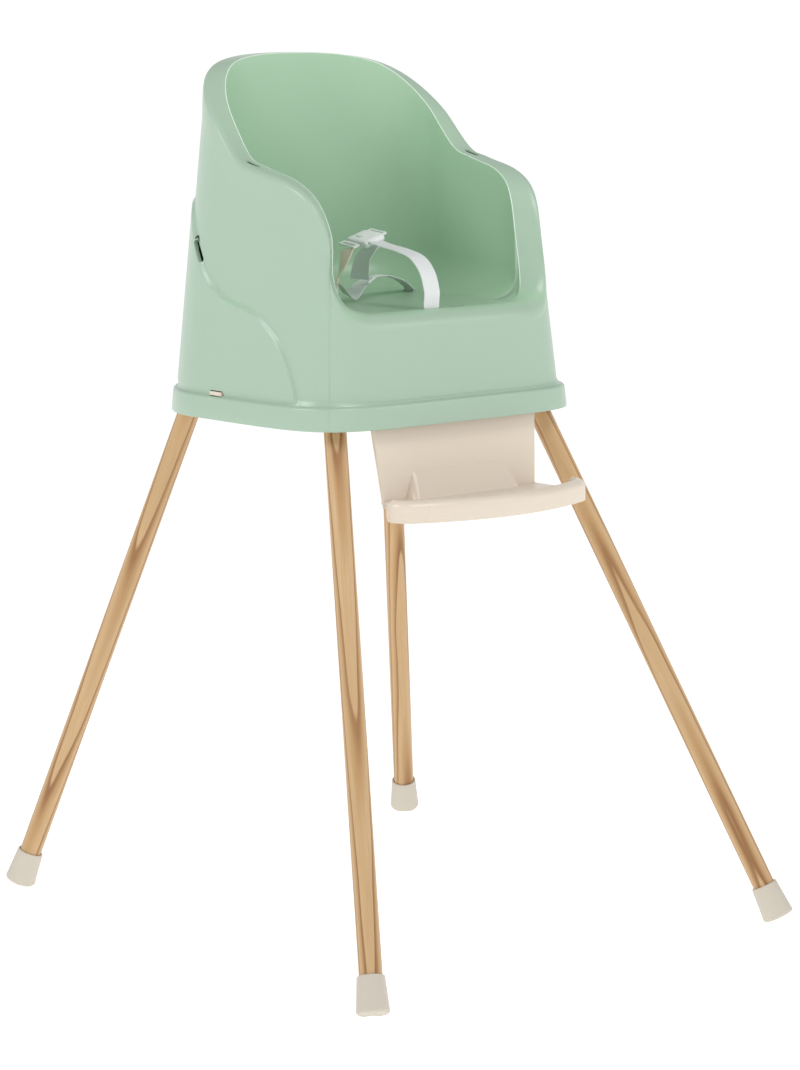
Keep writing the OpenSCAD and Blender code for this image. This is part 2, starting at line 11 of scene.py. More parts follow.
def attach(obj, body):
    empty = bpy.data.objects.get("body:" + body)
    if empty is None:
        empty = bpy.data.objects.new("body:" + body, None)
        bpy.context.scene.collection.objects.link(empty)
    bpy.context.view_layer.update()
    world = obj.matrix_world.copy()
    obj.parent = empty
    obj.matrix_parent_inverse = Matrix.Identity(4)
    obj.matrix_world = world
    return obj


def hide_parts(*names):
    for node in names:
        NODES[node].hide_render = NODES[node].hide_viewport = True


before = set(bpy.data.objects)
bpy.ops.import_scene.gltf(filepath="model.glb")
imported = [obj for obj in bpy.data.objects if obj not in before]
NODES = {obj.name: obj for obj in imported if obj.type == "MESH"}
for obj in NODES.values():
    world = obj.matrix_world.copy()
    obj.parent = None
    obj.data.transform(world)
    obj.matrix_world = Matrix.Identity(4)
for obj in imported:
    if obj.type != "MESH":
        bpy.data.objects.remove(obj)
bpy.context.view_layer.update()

MM = 0.001


# ------------------------------------------------------- curves and places

def smooth(points, steps):
    """Catmull-Rom curve through all the points, with steps in each span."""
    p = np.array(points, float)
    out = []
    for i in range(len(p) - 1):
        a, b, c, d = p[max(i - 1, 0)], p[i], p[i + 1], p[min(i + 2, len(p) - 1)]
        last = i == len(p) - 2
        for k in range(steps + 1 if last else steps):
            t = k / steps
            out.append(0.5 * (2 * b + (c - a) * t + (2 * a - 5 * b + 4 * c - d) * t * t
                              + (3 * b - a - 3 * c + d) * t * t * t))
    return np.array(out)


def unit(v):
    """The vector at length 1."""
    v = np.array(v, float)
    return v / np.linalg.norm(v)


def smoothstep(x, low, high):
    """0 below low, 1 above high and an even curve between them."""
    t = np.clip((x - low) / (high - low), 0, 1)
    return t * t * (3 - 2 * t)


def run_lengths(points):
    """Distance along a polyline at each of its points."""
    steps = np.linalg.norm(np.diff(points, axis=0), axis=1)
    return np.concatenate([[0], np.cumsum(steps)])


def arc(n):
    """Angles of a quarter turn in n steps."""
    return [math.radians(90 * k / n) for k in range(n + 1)]


def falloff(edge, r):
    """How far a rounding of radius r falls away at a distance from the edge."""
    return r * (1 - math.sqrt(max(0.0, 1 - (1 - min(edge / r, 1)) ** 2)))


def placed(at, *turns):
    """A place, then turns about its own axes, each as (degrees, axis)."""
    matrix = Matrix.Translation(at)
    for degrees, axis in turns:
        matrix = matrix @ Matrix.Rotation(math.radians(degrees), 4, axis)
    return matrix


# ------------------------------------------------------------------ meshes

def linked(name, data):
    """A new object in the scene."""
    obj = bpy.data.objects.new(name, data)
    bpy.context.scene.collection.objects.link(obj)
    return obj


def piece(name, verts, faces, material, body, sharp=35):
    """A mesh from points in millimetres, riding on a body of the chair."""
    mesh = bpy.data.meshes.new(name)
    mesh.from_pydata((np.array(verts, float) * MM).tolist(), [], faces)
    mesh.validate()
    obj = linked(name, mesh)
    finish_piece(obj, material, body, sharp)
    return obj


def dress_mesh(mesh, material, sharp):
    """Smooth shading, hard edges above an angle in degrees, one material."""
    mesh.polygons.foreach_set("use_smooth", [True] * len(mesh.polygons))
    mesh.set_sharp_from_angle(angle=math.radians(sharp))
    mesh.materials.clear()
    mesh.materials.append(material)


def finish_piece(obj, material, body, sharp=35):
    """Turns the faces outwards and gives the piece its look, body and slot."""
    mesh = obj.data
    bm = bmesh.new()
    bm.from_mesh(mesh)
    bmesh.ops.recalc_face_normals(bm, faces=bm.faces)
    bm.to_mesh(mesh)
    bm.free()
    dress_mesh(mesh, material, sharp)
    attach(obj, body)


def grid_faces(rows, cols, wrap_rows=False, wrap_cols=False):
    """Quads over rows of points; a wrapped direction closes on itself."""
    faces = []
    for i in range(rows if wrap_rows else rows - 1):
        j = (i + 1) % rows
        for k in range(cols if wrap_cols else cols - 1):
            m = (k + 1) % cols
            faces.append((i * cols + k, j * cols + k, j * cols + m, i * cols + m))
    return faces


def tube_faces(rows, cols):
    """Quads round a tube of closed rows, and a cap on both ends."""
    last = (rows - 1) * cols
    return grid_faces(rows, cols, wrap_cols=True) + [
        tuple(range(cols)), tuple(range(last + cols - 1, last - 1, -1))]


def carve(obj, cutter, solver, material, sharp):
    """Cuts the holes into a piece for good and removes the cutter."""
    cut = obj.modifiers.new("holes", "BOOLEAN")
    cut.operation, cut.object, cut.solver = "DIFFERENCE", cutter, solver
    graph = bpy.context.evaluated_depsgraph_get()
    graph.update()
    mesh = bpy.data.meshes.new_from_object(obj.evaluated_get(graph))
    obj.modifiers.clear()
    obj.data = mesh
    bpy.data.objects.remove(cutter)
    dress_mesh(mesh, material, sharp)


def rounded_box(bm, size, at=(0, 0, 0), matrix=None, radius=0.8, segments=3):
    """Adds a box with rounded edges, in millimetres."""
    verts = bmesh.ops.create_cube(bm, size=1)["verts"]
    for v in verts:
        v.co = Vector((v.co.x * size[0], v.co.y * size[1], v.co.z * size[2]))
    edges = list({e for v in verts for e in v.link_edges})
    bevelled = bmesh.ops.bevel(bm, geom=edges, offset=radius, segments=segments,
                               profile=0.5, affect="EDGES", clamp_overlap=True)
    found = {v for f in bevelled["faces"] for v in f.verts}
    found |= {v for v in verts if v.is_valid}
    for v in found:
        v.co = v.co + Vector(at)
        if matrix is not None:
            v.co = matrix @ v.co


def slab(bm, outline, z0, z1, radius, segments, matrix=None):
    """Adds a flat plate with rounded edges over a closed outline."""
    low = [bm.verts.new((x, y, z0)) for x, y in outline]
    high = [bm.verts.new((x, y, z1)) for x, y in outline]
    n = len(outline)
    bm.faces.new(low[::-1])
    bm.faces.new(high)
    sides = [bm.faces.new((low[i], low[(i + 1) % n], high[(i + 1) % n], high[i]))
             for i in range(n)]
    rims = [bm.edges.get((ring[i], ring[(i + 1) % n])) for ring in (low, high)
            for i in range(n)]
    bevelled = bmesh.ops.bevel(bm, geom=rims, offset=radius, segments=segments,
                               profile=0.5, affect="EDGES", clamp_overlap=True)
    if matrix is not None:
        found = {v for f in bevelled["faces"] for v in f.verts}
        found |= {v for f in sides if f.is_valid for v in f.verts}
        for v in found:
            v.co = matrix @ v.co


def cutter_slab(bm, outline, low, high, matrix):
    """Adds a plain slab for a hole, with edges that stay sharp."""
    slab(bm, outline, low, high, 0.01, 1, matrix)


def bmesh_object(name, bm):
    """Turns a mesh in millimetres into an object."""
    bmesh.ops.scale(bm, vec=(MM, MM, MM), verts=bm.verts)
    mesh = bpy.data.meshes.new(name)
    bm.to_mesh(mesh)
    bm.free()
    return linked(name, mesh)


def cutter_object(name, bm):
    """Turns a mesh in millimetres into a cutter with its faces outwards."""
    bmesh.ops.recalc_face_normals(bm, faces=bm.faces)
    return bmesh_object(name, bm)


def from_bmesh(name, bm, material, body):
    """Turns a mesh in millimetres into a piece."""
    obj = bmesh_object(name, bm)
    finish_piece(obj, material, body)
    return obj


def stadium(length, width, steps=8):
    """Outline of a long hole with round ends, its length along x."""
    r = width / 2
    out = []
    for sign, start in ((1, -90), (-1, 90)):
        for k in range(steps + 1):
            a = math.radians(start + 180 * k / steps)
            out.append((sign * (length / 2 - r) + r * math.cos(a), r * math.sin(a)))
    return out


# --------------------------------------------------------------- materials

class Look:
    """A node material: one Principled shader and what feeds it."""

    def __init__(self, name):
        self.mat = bpy.data.materials.new(name)
        self.mat.use_nodes = True
        self.tree = self.mat.node_tree
        self.tree.nodes.clear()
        out = self.tree.nodes.new("ShaderNodeOutputMaterial")
        self.shader = self.tree.nodes.new("ShaderNodeBsdfPrincipled")
        self.tree.links.new(self.shader.outputs[0], out.inputs[0])

    def node(self, kind, inputs=None, **settings):
        n = self.tree.nodes.new("ShaderNode" + kind)
        for key, value in settings.items():
            setattr(n, key, value)
        for key, value in (inputs or {}).items():
            self.put(n, key, value)
        return n

    def put(self, node, key, value):
        if isinstance(value, bpy.types.NodeSocket):
            self.tree.links.new(value, node.inputs[key])
        else:
            node.inputs[key].default_value = value

    def set(self, **values):
        for key, value in values.items():
            self.put(self.shader, key.replace("_", " "), value)

    def math(self, operation, a, b=0.0, clamp=False):
        n = self.node("Math", {0: a, 1: b}, operation=operation, use_clamp=clamp)
        return n.outputs[0]

    def place(self, rotation=(0, 0, 0), location=(0, 0, 0), scale=(1, 1, 1)):
        """Object coordinates, moved and turned."""
        source = self.node("TexCoord").outputs["Object"]
        return self.node("Mapping", {"Vector": source, "Rotation": rotation,
                                     "Location": location, "Scale": scale}).outputs[0]

    def noise(self, vector, scale, detail=3.0, rough=0.5):
        n = self.node("TexNoise", {"Vector": vector, "Scale": scale, "Detail": detail,
                                   "Roughness": rough})
        return n.outputs[0]

    def ramp(self, factor, stops):
        """Colours or plain values along a factor, blended linearly."""
        n = self.node("ValToRGB", {"Fac": factor})
        ramp = n.color_ramp
        while len(ramp.elements) > 1:
            ramp.elements.remove(ramp.elements[-1])
        for i, (at, colour) in enumerate(stops):
            e = ramp.elements[0] if i == 0 else ramp.elements.new(at)
            e.position = at
            e.color = (*colour[:3], 1) if hasattr(colour, "__len__") else (colour,) * 3 + (1,)
        return n.outputs[0]

    def mix(self, factor, a, b):
        n = self.node("Mix", data_type="RGBA")
        for key, value in ((0, factor), (6, a), (7, b)):
            if isinstance(value, tuple) and len(value) == 3:
                value = (*value, 1)
            self.put(n, key, value)
        return n.outputs[2]

    def bump(self, height, strength, distance):
        return self.node("Bump", {"Height": height, "Strength": strength,
                                  "Distance": distance}).outputs[0]


def linear(r, g, b):
    """An sRGB colour, 0 to 255, as linear light."""
    def one(c):
        c /= 255
        return c / 12.92 if c <= 0.04045 else ((c + 0.055) / 1.055) ** 2.4
    return (one(r), one(g), one(b))


# Where the painted shade and bounce light inside the seat begin, in metres: the middle
# it looks to, the height it starts at and the height up to which it covers the pan
SEAT_MIDDLE_Y, INSIDE_SHADE_FROM_Z, PAN_UP_TO_Z = 0.05, 0.64, 0.665


def moulded_plastic(name, colour, deep, rough, inside_shade=None):
    """Injection-moulded plastic: faint flow tone, fine satin texture.
    The inside tone is a deeper green for the faces that look towards the middle of the seat:
    painted shade and bounce light."""
    m = Look(name)
    at = m.place()
    flow = m.noise(at, 7, 2)
    toned = m.mix(flow, deep, colour)
    # Painted shade and bounce light: faces inside the seat and the top of its pan take the
    # deeper green tone
    if inside_shade:
        geometry = m.node("NewGeometry")
        nx, ny, nz = m.node("SeparateXYZ", {"Vector": geometry.outputs["Normal"]}).outputs
        px, py, pz = m.node("SeparateXYZ", {"Vector": geometry.outputs["Position"]}).outputs
        from_middle = m.math("SUBTRACT", py, SEAT_MIDDLE_Y)
        inward = m.math("MULTIPLY", m.math("ADD", m.math("MULTIPLY", nx, px),
                                           m.math("MULTIPLY", ny, from_middle)), -12)
        above = m.math("MULTIPLY", m.math("SUBTRACT", pz, INSIDE_SHADE_FROM_Z), 120, clamp=True)
        low = m.math("MULTIPLY", m.math("SUBTRACT", PAN_UP_TO_Z, pz), 80, clamp=True)
        pan = m.math("MULTIPLY", low, nz, clamp=True)
        inside_shade_mask = m.math("MULTIPLY", m.math("MAXIMUM", inward, pan, clamp=True), above)
        toned = m.mix(inside_shade_mask, toned, inside_shade)
    m.set(Base_Color=toned,
          Roughness=m.ramp(flow, [(0.1, rough - 0.02), (0.9, rough + 0.02)]),
          IOR=1.49, Normal=m.bump(m.noise(at, 260, 1), 0.03, 0.0001))
    return m.mat


# The heart of the trunk is this far (m) from a stick; growth rings per metre;
# how many rings they waver along the stick
HEART_AWAY, RINGS_PER_M, RING_WAVER = 0.030, 185, 1.5


def pine(name, direction, origin, seed, heart_side):
    """Clear-finished pine; its grain runs along direction, origin is in metres and
    heart_side is the side (degrees round the stick) where the heart of the trunk was."""
    m = Look(name)
    to_z = Vector(direction).rotation_difference(Vector((0, 0, 1)))
    turn = to_z.to_euler()
    moved = -(to_z @ Vector(origin))
    at = m.place(rotation=tuple(turn), location=tuple(moved))
    x, y, z = m.node("SeparateXYZ", {"Vector": at}).outputs

    def stretched(across, along, shift):
        """Coordinates for a figure that is drawn out along the stick."""
        return m.node("CombineXYZ", {
            "X": m.math("MULTIPLY", x, across), "Y": m.math("MULTIPLY", y, across),
            "Z": m.math("ADD", m.math("MULTIPLY", z, along), shift)}).outputs[0]

    # Slow waver of the rings along the stick
    long_at = stretched(22, 3.6, seed * 3.7)
    waver = m.noise(long_at, 1.0, 2, 0.5)
    # Distance from the heart of the trunk, which leans a little to the stick
    side = math.radians(heart_side)
    lean = 0.020 if seed % 2 else -0.017
    heart = m.math("ADD", m.math("MULTIPLY", z, lean), HEART_AWAY)
    hx = m.math("ADD", x, m.math("MULTIPLY", heart, -math.cos(side)))
    hy = m.math("ADD", y, m.math("MULTIPLY", heart, -math.sin(side)))
    radius = m.math("SQRT", m.math("ADD", m.math("MULTIPLY", hx, hx),
                                   m.math("MULTIPLY", hy, hy)))
    rings = m.math("ADD", m.math("ADD", m.math("MULTIPLY", radius, RINGS_PER_M),
                                 m.math("MULTIPLY", waver, RING_WAVER)), seed * 0.37)
    phase = m.math("FRACT", rings)
    early, mid, late = linear(204, 171, 127), linear(184, 145, 97), linear(142, 97, 53)
    base = m.ramp(phase, [(0.0, early), (0.4, early), (0.72, mid), (0.9, late), (0.955, late),
                          (1.0, early)])
    fibre = m.noise(stretched(900, 22, 0.0), 1.0, 3, 0.6)
    toned = m.mix(m.ramp(fibre, [(0.35, 0.0), (0.75, 0.35)]), base, linear(170, 128, 80))
    patch = m.noise(long_at, 1.7, 2)
    toned = m.mix(m.ramp(patch, [(0.4, 0.0), (0.7, 0.35)]), toned, linear(190, 152, 102))
    m.set(Base_Color=toned,
          Roughness=m.ramp(fibre, [(0.2, 0.4), (0.8, 0.55)]),
          Coat_Weight=0.15, Coat_Roughness=0.3,
          Normal=m.bump(fibre, 0.12, 0.0004))
    return m.mat


def rubber(name):
    """Smooth off-white rubber with a faint even tone and a fine satin skin."""
    m = Look(name)
    at = m.place()
    tone = m.noise(at, 30, 2)
    m.set(Base_Color=m.mix(tone, linear(205, 198, 184), linear(200, 192, 177)),
          Roughness=m.ramp(m.noise(at, 400, 3), [(0.3, 0.48), (0.7, 0.6)]),
          Normal=m.bump(m.noise(at, 300, 2), 0.04, 0.0003))
    return m.mat


YARN_PITCH, WEFT_PITCH = 1.25, 1.25 / 0.9


def webbing(name, colour, deep):
    """Woven polyester tape; its weave follows the 'weave' attribute (mm)."""
    m = Look(name)
    weave_at = m.node("Attribute", attribute_name="weave").outputs["Vector"]
    u, v, _ = m.node("SeparateXYZ", {"Vector": weave_at}).outputs
    # Warp yarns run along the tape and rise over every second weft yarn
    across = m.math("SINE", m.math("MULTIPLY", u, 2 * math.pi / YARN_PITCH))
    along = m.math("SINE", m.math("MULTIPLY", v, 2 * math.pi / WEFT_PITCH))
    weave = m.math("MULTIPLY", across, along)
    rib = m.math("ABSOLUTE", along)
    height = m.math("ADD", m.math("MULTIPLY", weave, 0.5), m.math("MULTIPLY", rib, 0.5))
    fuzz = m.noise(m.place(), 3000, 2)
    height = m.math("ADD", height, m.math("MULTIPLY", fuzz, 0.4))
    # Painted shade: the low parts of the weave take the darker colour
    shade = m.ramp(height, [(0.0, 1.0), (0.55, 0.0)])
    m.set(Base_Color=m.mix(shade, colour, deep), Roughness=0.72,
          Sheen_Weight=0.25, Sheen_Roughness=0.5,
          Normal=m.bump(height, 0.5, 0.00035))
    return m.mat


def metal(name, colour, rough):
    """Brushed metal; the brushing runs across the height."""
    m = Look(name)
    at = m.place(scale=(1, 1, 6))
    brushed = m.noise(at, 500, 4)
    m.set(Base_Color=m.mix(brushed, colour, tuple(c * 0.8 for c in colour)), Metallic=1.0,
          Roughness=m.ramp(brushed, [(0.3, rough - 0.06), (0.7, rough + 0.1)]),
          Normal=m.bump(brushed, 0.06, 0.0003))
    return m.mat


# The mint's inside tone is painted shade and bounce light inside the seat
MINT = moulded_plastic("mint_plastic", linear(165, 189, 169), linear(162, 186, 166),
                       rough=0.3, inside_shade=linear(165, 198, 168))
# Painted highlight: the light mint of the bead along the inner edge of the band
MINT_EDGE_HIGHLIGHT = moulded_plastic("mint_edge_highlight", linear(224, 239, 227), linear(219, 235, 222),
                            rough=0.22)
# Painted shade: the dark colour of the pockets behind the strap slots
PAINTED_SHADE = moulded_plastic("slot_painted_shade", linear(52, 66, 56), linear(46, 58, 50),
                        rough=0.6)
CREAM = moulded_plastic("cream_plastic", linear(223, 211, 195), linear(220, 207, 190),
                        rough=0.28)
WHITE = moulded_plastic("white_plastic", linear(230, 234, 232), linear(225, 229, 227),
                        rough=0.28)
RUBBER = rubber("cap_rubber")
WEB = webbing("white_webbing", linear(232, 236, 235), linear(188, 195, 194))
WEB_CREAM = webbing("cream_webbing", linear(226, 216, 196), linear(196, 184, 160))
STEEL = metal("zinc_steel", (0.56, 0.57, 0.58), 0.3)
BRASS = metal("brass", (0.72, 0.53, 0.24), 0.3)


# -------------------------------------------------------------- seat shell

SKIRT_Z = 533.0
HALF_W = 184.0
FRONT_LEN, REAR_LEN = 204.0, 141.5
FRONT_SQUARE, REAR_SQUARE = 5.7, 2.0
WALL, BAND_W, LIP_H, PAN_DIP = 3.0, 23.0, 114.0, 2.5
WIDEST_Y, SIDE_LEAN, END_LEAN, WAIST = 80.0, 0.102, 0.09, 0.027
SKIRT_H, SKIRT_OUT, DISH = 24.0, 5.0, 1.5
PAN_H = LIP_H - PAN_DIP
PAN_MIDDLE = (0.0, 20.0)
SEAT_Z = SKIRT_Z + LIP_H
LIP_Y, BACK_FROM = -88.0, 148.0
FRONT_STEPS, BACK_STEPS, WALL_ROWS, WALL_FOOT = 70, 60, 96, 26
CREST = smooth([
    (LIP_Y, LIP_H), (-79, LIP_H + 12), (-71, LIP_H + 38), (-66, LIP_H + 80),
    (-50, LIP_H + 114), (-22, LIP_H + 132), (22, LIP_H + 143),
    (52, LIP_H + 154), (92, LIP_H + 198), (131, LIP_H + 237),
    (160, LIP_H + 252), (190, LIP_H + 256)], 14)


def wall_point(q, h, inset):
    """A point of the wall: direction in degrees, height and inset."""
    c, s = np.cos(np.radians(q)), np.sin(np.radians(q))
    n = np.where(s < 0, FRONT_SQUARE, REAR_SQUARE)
    b = np.where(s < 0, FRONT_LEN, REAR_LEN) - END_LEAN * h
    r = (np.abs(c) ** n + np.abs(s) ** n) ** (-1 / n)
    y = (b - inset) * r * s
    x = (HALF_W - SIDE_LEAN * h - inset) * r * c * (1 + WAIST * y / 100)
    return np.array([x, WIDEST_Y + y, SKIRT_Z + h])


def direction_at(y, h):
    """Direction of the place where the band's inner edge passes y."""
    d = y - WIDEST_Y
    b = (FRONT_LEN if d < 0 else REAR_LEN) - END_LEAN * h
    v = d / (b - BAND_W)
    n = FRONT_SQUARE if d < 0 else REAR_SQUARE
    u = max(1 - abs(v) ** n, 0) ** (1 / n)
    return math.degrees(math.atan2(v, u))


def crest_at(y):
    """Height of the wall above the skirt's foot at a place of its side view."""
    return float(np.interp(y, CREST[:, 0], CREST[:, 1]))


# The raised panel on the lower rear of the wall starts below this line, in
# side view (y, z)
PANEL_LINE = smooth([
    (330, 764), (230, 764), (170, 758), (138, 747), (109, 714), (93, 690), (76, 672),
    (56, 660), (36, 653), (14, 649), (-5, 643), (-21, 633), (-36, 622),
    (-50, 605), (-62, 583), (-70, 560), (-74, 540)], 6)
PANEL_STEP, STEP_HALF = 3.0, 1.5
GROOVE_DEPTH, GROOVE_AT, GROOVE_HALF = 0.5, -3.0, 1.8


def panel_rise(y, z):
    """How far the wall stands out at a place of its side view."""
    a, b = PANEL_LINE[:-1], PANEL_LINE[1:]
    p = np.stack([y, z], -1)[..., None, :]
    ab = b - a
    t = np.clip(((p - a) * ab).sum(-1) / (ab * ab).sum(-1), 0, 1)
    near = a + ab * t[..., None]
    away = p - near
    dist2 = (away ** 2).sum(-1)
    k = dist2.argmin(-1)
    pick = lambda arr: np.take_along_axis(arr, k[..., None], -1)[..., 0]
    side = pick(ab[:, 0] * (p[..., 1] - a[:, 1]) - ab[:, 1] * (p[..., 0] - a[:, 0]))
    dist = np.sqrt(pick(dist2)) * np.sign(side)
    step = smoothstep(dist, -STEP_HALF, STEP_HALF)
    # A shallow groove follows the foot of the step
    groove = GROOVE_DEPTH * np.exp(-((dist - GROOVE_AT) / GROOVE_HALF) ** 2)
    return PANEL_STEP * (step - 0.5) - groove


def stations():
    """All (direction, crest height) round the wall, from the front onwards."""
    q_lip = direction_at(LIP_Y, LIP_H)
    q_back = direction_at(BACK_FROM, crest_at(BACK_FROM))
    front = [(-90 + (q_lip + 90) * k / FRONT_STEPS, LIP_H) for k in range(FRONT_STEPS)]
    side = [(direction_at(y, h), h) for y, h in CREST if y < BACK_FROM]
    back = []
    for k in range(BACK_STEPS + 1):
        q = q_back + (90 - q_back) * k / BACK_STEPS
        y = wall_point(q, LIP_H + 250, BAND_W)[1]
        back.append((q, crest_at(y)))
    half = front + side + back
    return half + [(180 - q, top) for q, top in half[-2:0:-1]]


def lowness(top):
    """1 at the low front lip, falling to 0 up the armrests."""
    return math.exp(-(top - PAN_H - PAN_DIP) / 15)


def section(top):
    """The moulding's section at one station: rows of (inset, height, share). A row
    without an inset lies on the pan, at a share of the way to its middle."""
    rise = top - PAN_H
    low = lowness(top)
    ro, w, ri = 6.5 + 9 * low, BAND_W - low, 1.6 - 1.1 * low
    fillet = 2 + 48 * (1 - math.exp(-(rise - PAN_DIP) / 90))
    foot = w + 0.05 * (rise - PAN_DIP)
    roof = top - WALL
    rows = [(None, PAN_H - DISH * math.sin(math.radians(90 * s)), s)
            for s in (0.94, 0.86, 0.74, 0.6, 0.45, 0.3, 0.18, 0.08)]
    rows += [(foot + fillet * (1 - math.sin(a)), PAN_H + fillet * (1 - math.cos(a)), 0)
             for a in arc(12)]
    rows += [(foot + (w - foot) * t, PAN_H + fillet + (rise - ri - fillet) * t, 0)
             for t in np.linspace(0, 1, 12)[1:-1]]
    rows += [(w - ri * (1 - math.cos(a)), top - ri * (1 - math.sin(a)), 0) for a in arc(4)]
    rows += [(ro + (w - ri - ro) * t, top, 0) for t in (0.75, 0.5, 0.25)]
    rows += [(ro * (1 - math.sin(a)), top - ro * (1 - math.cos(a)), 0) for a in arc(9)]
    outer = len(rows)
    rows += [(0, top - ro + (WALL_FOOT - top + ro) * k / WALL_ROWS, 0)
             for k in range(1, WALL_ROWS + 1)]
    outer_end = len(rows)
    rows += [(-0.6, SKIRT_H + 0.5, 0), (-2.5, SKIRT_H, 0), (-4.0, SKIRT_H - 0.5, 0),
             (-4.8, SKIRT_H - 1.6, 0), (-SKIRT_OUT, SKIRT_H - 3, 0), (-SKIRT_OUT, 12, 0),
             (-SKIRT_OUT, 1.2, 0), (-SKIRT_OUT + 0.4, 0.3, 0), (-SKIRT_OUT + 1.2, 0, 0),
             (-SKIRT_OUT + WALL, 0, 0), (-SKIRT_OUT + WALL, SKIRT_H - WALL - 0.5, 0),
             (WALL, SKIRT_H - WALL, 0), (WALL, (top - ro) * 0.5 + SKIRT_H / 2, 0),
             (WALL, top - ro, 0), (WALL + (ro - WALL) * 0.3, roof - (ro - WALL) * 0.3, 0),
             (ro, roof, 0), (w - WALL, roof, 0),
             (foot - WALL, min(PAN_H + fillet, roof - 1), 0)]
    rows += [(foot + fillet - (fillet + WALL) * math.sin(math.radians(a)),
              min(PAN_H + fillet - (fillet + WALL) * math.cos(math.radians(a)), roof - 1), 0)
             for a in (75, 60, 45, 30, 15, 0)]
    rows += [(None, PAN_H - WALL - DISH * 0.4, 0.3), (None, PAN_H - WALL - DISH * 0.8, 0.65)]
    return rows, foot + fillet, (outer, outer_end)


STATIONS = stations()


def shell_mesh():
    """Points and faces of the whole moulding, before its holes are cut."""
    rings = []
    for q, top in STATIONS:
        rows, edge, span = section(top)
        pts = []
        for inset, h, share in rows:
            if inset is None:
                o = wall_point(q, h, edge)
                pts.append([o[0] + (PAN_MIDDLE[0] - o[0]) * share,
                            o[1] + (PAN_MIDDLE[1] - o[1]) * share, o[2]])
            else:
                pts.append(wall_point(q, h, inset))
        rings.append(pts)
    p = np.array(rings)
    # The step of the rear panel, along the outward direction of the wall
    lo, hi = span
    outer = p[:, lo:hi]
    out = outer[:, :, :2] - np.array([0, WIDEST_Y])
    out /= np.linalg.norm(out, axis=-1, keepdims=True)
    rise = panel_rise(outer[:, :, 1], outer[:, :, 2])
    k = np.arange(hi - lo)
    fade = smoothstep(k, 0, 10) * (1 - smoothstep(k, hi - lo - 3, hi - lo - 1))
    p[:, lo:hi, :2] += out * (rise * fade)[..., None]
    n, m = p.shape[:2]
    verts = p.reshape(-1, 3).tolist()
    top_mid, low_mid = len(verts), len(verts) + 1
    verts.append([*PAN_MIDDLE, SKIRT_Z + PAN_H - DISH])
    verts.append([*PAN_MIDDLE, SKIRT_Z + PAN_H - DISH - WALL])
    faces = grid_faces(n, m, wrap_rows=True)
    faces += [(top_mid, ((i + 1) % n) * m, i * m) for i in range(n)]
    faces += [(low_mid, i * m + m - 1, ((i + 1) % n) * m + m - 1) for i in range(n)]
    return verts, faces


CROTCH_SLOT = (16.0, -97.0)
WAIST_SLOT = (97.0, 84.0)
WAIST_TURN = 80.0
# The slot in the level band and the belt slot low on the rear side
BAND_SLOT = (143.5, 32)
BELT_SLOT, BELT_TURN = (101, SKIRT_Z + 169), 51
LATCH_X, LATCH_Y, LATCH_Z = 179, 51.0, SKIRT_Z + 26.5
SLOT_T, BEAD_R = 5.0, 0.55


def slot_cutters():
    """Every hole through the moulding, on both sides."""
    bm = bmesh.new()
    for s in (-1, 1):
        cutter_slab(bm, stadium(23, SLOT_T), -12, 12,
                    placed((s * CROTCH_SLOT[0], CROTCH_SLOT[1], SEAT_Z)))
        cutter_slab(bm, stadium(23, SLOT_T), -20, 20,
                    placed((s * WAIST_SLOT[0], WAIST_SLOT[1], SKIRT_Z + PAN_H),
                           (s * WAIST_TURN, "Z")))
        cutter_slab(bm, stadium(22, SLOT_T), -20, 20,
                    placed((s * BAND_SLOT[0], BAND_SLOT[1], SKIRT_Z + 262), (90, "Z")))
        cutter_slab(bm, stadium(27, 6.2), -12, 12,
                    placed((s * 168, *BELT_SLOT), (BELT_TURN, "X"), (90, "Y"), (90, "Z")))
        cutter_slab(bm, stadium(23, 6), -8, 8,
                    placed((s * LATCH_X, LATCH_Y, LATCH_Z), (90, "Y"), (90, "Z")))
    return cutter_object("slot_cutters", bm)


def make_shell():
    verts, faces = shell_mesh()
    shell = piece("seat_moulding", verts, faces, MINT, "chair")
    carve(shell, slot_cutters(), "MANIFOLD", MINT, 38)
    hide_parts("seat_shell")


def make_slot_pockets():
    """Blind pockets behind the strap slots, in a dark colour that is painted shade and keeps
    the holes dark.
    """
    bm = bmesh.new()
    for s in (-1, 1):
        # A cup that lines the slot in the level band and follows its slope
        rows = []
        for length, width, depth in ((21.8, 4.8, 14.0), (21.8, 4.8, 0.5), (20.6, 3.6, 0.5),
                                     (20.6, 3.6, 13.0)):
            ring = []
            for along, across in stadium(length, width):
                y = BAND_SLOT[1] + along
                z = SKIRT_Z + crest_at(y) - depth
                ring.append(bm.verts.new((s * BAND_SLOT[0] + across, y, z)))
            rows.append(ring)
        n = len(rows[0])
        for one, two in zip(rows, rows[1:]):
            for k in range(n):
                bm.faces.new((one[k], one[(k + 1) % n], two[(k + 1) % n], two[k]))
        bm.faces.new(rows[0])
        bm.faces.new(rows[-1][::-1])
        # A box with an open mouth behind the belt slot
        belt = placed((s * 157, *BELT_SLOT), (BELT_TURN, "X"), (s * 90, "Y"), (90, "Z"))
        length, width, depth, wall = 31, 10, 11, 1.2
        rounded_box(bm, (length, width, wall), (0, 0, -depth / 2), belt, 0.3, 1)
        for e in (-1, 1):
            rounded_box(bm, (length, wall, depth), (0, e * width / 2, 0), belt, 0.3, 1)
            rounded_box(bm, (wall, width, depth), (e * length / 2, 0, 0), belt, 0.3, 1)
    from_bmesh("slot_pockets", bm, PAINTED_SHADE, "chair")


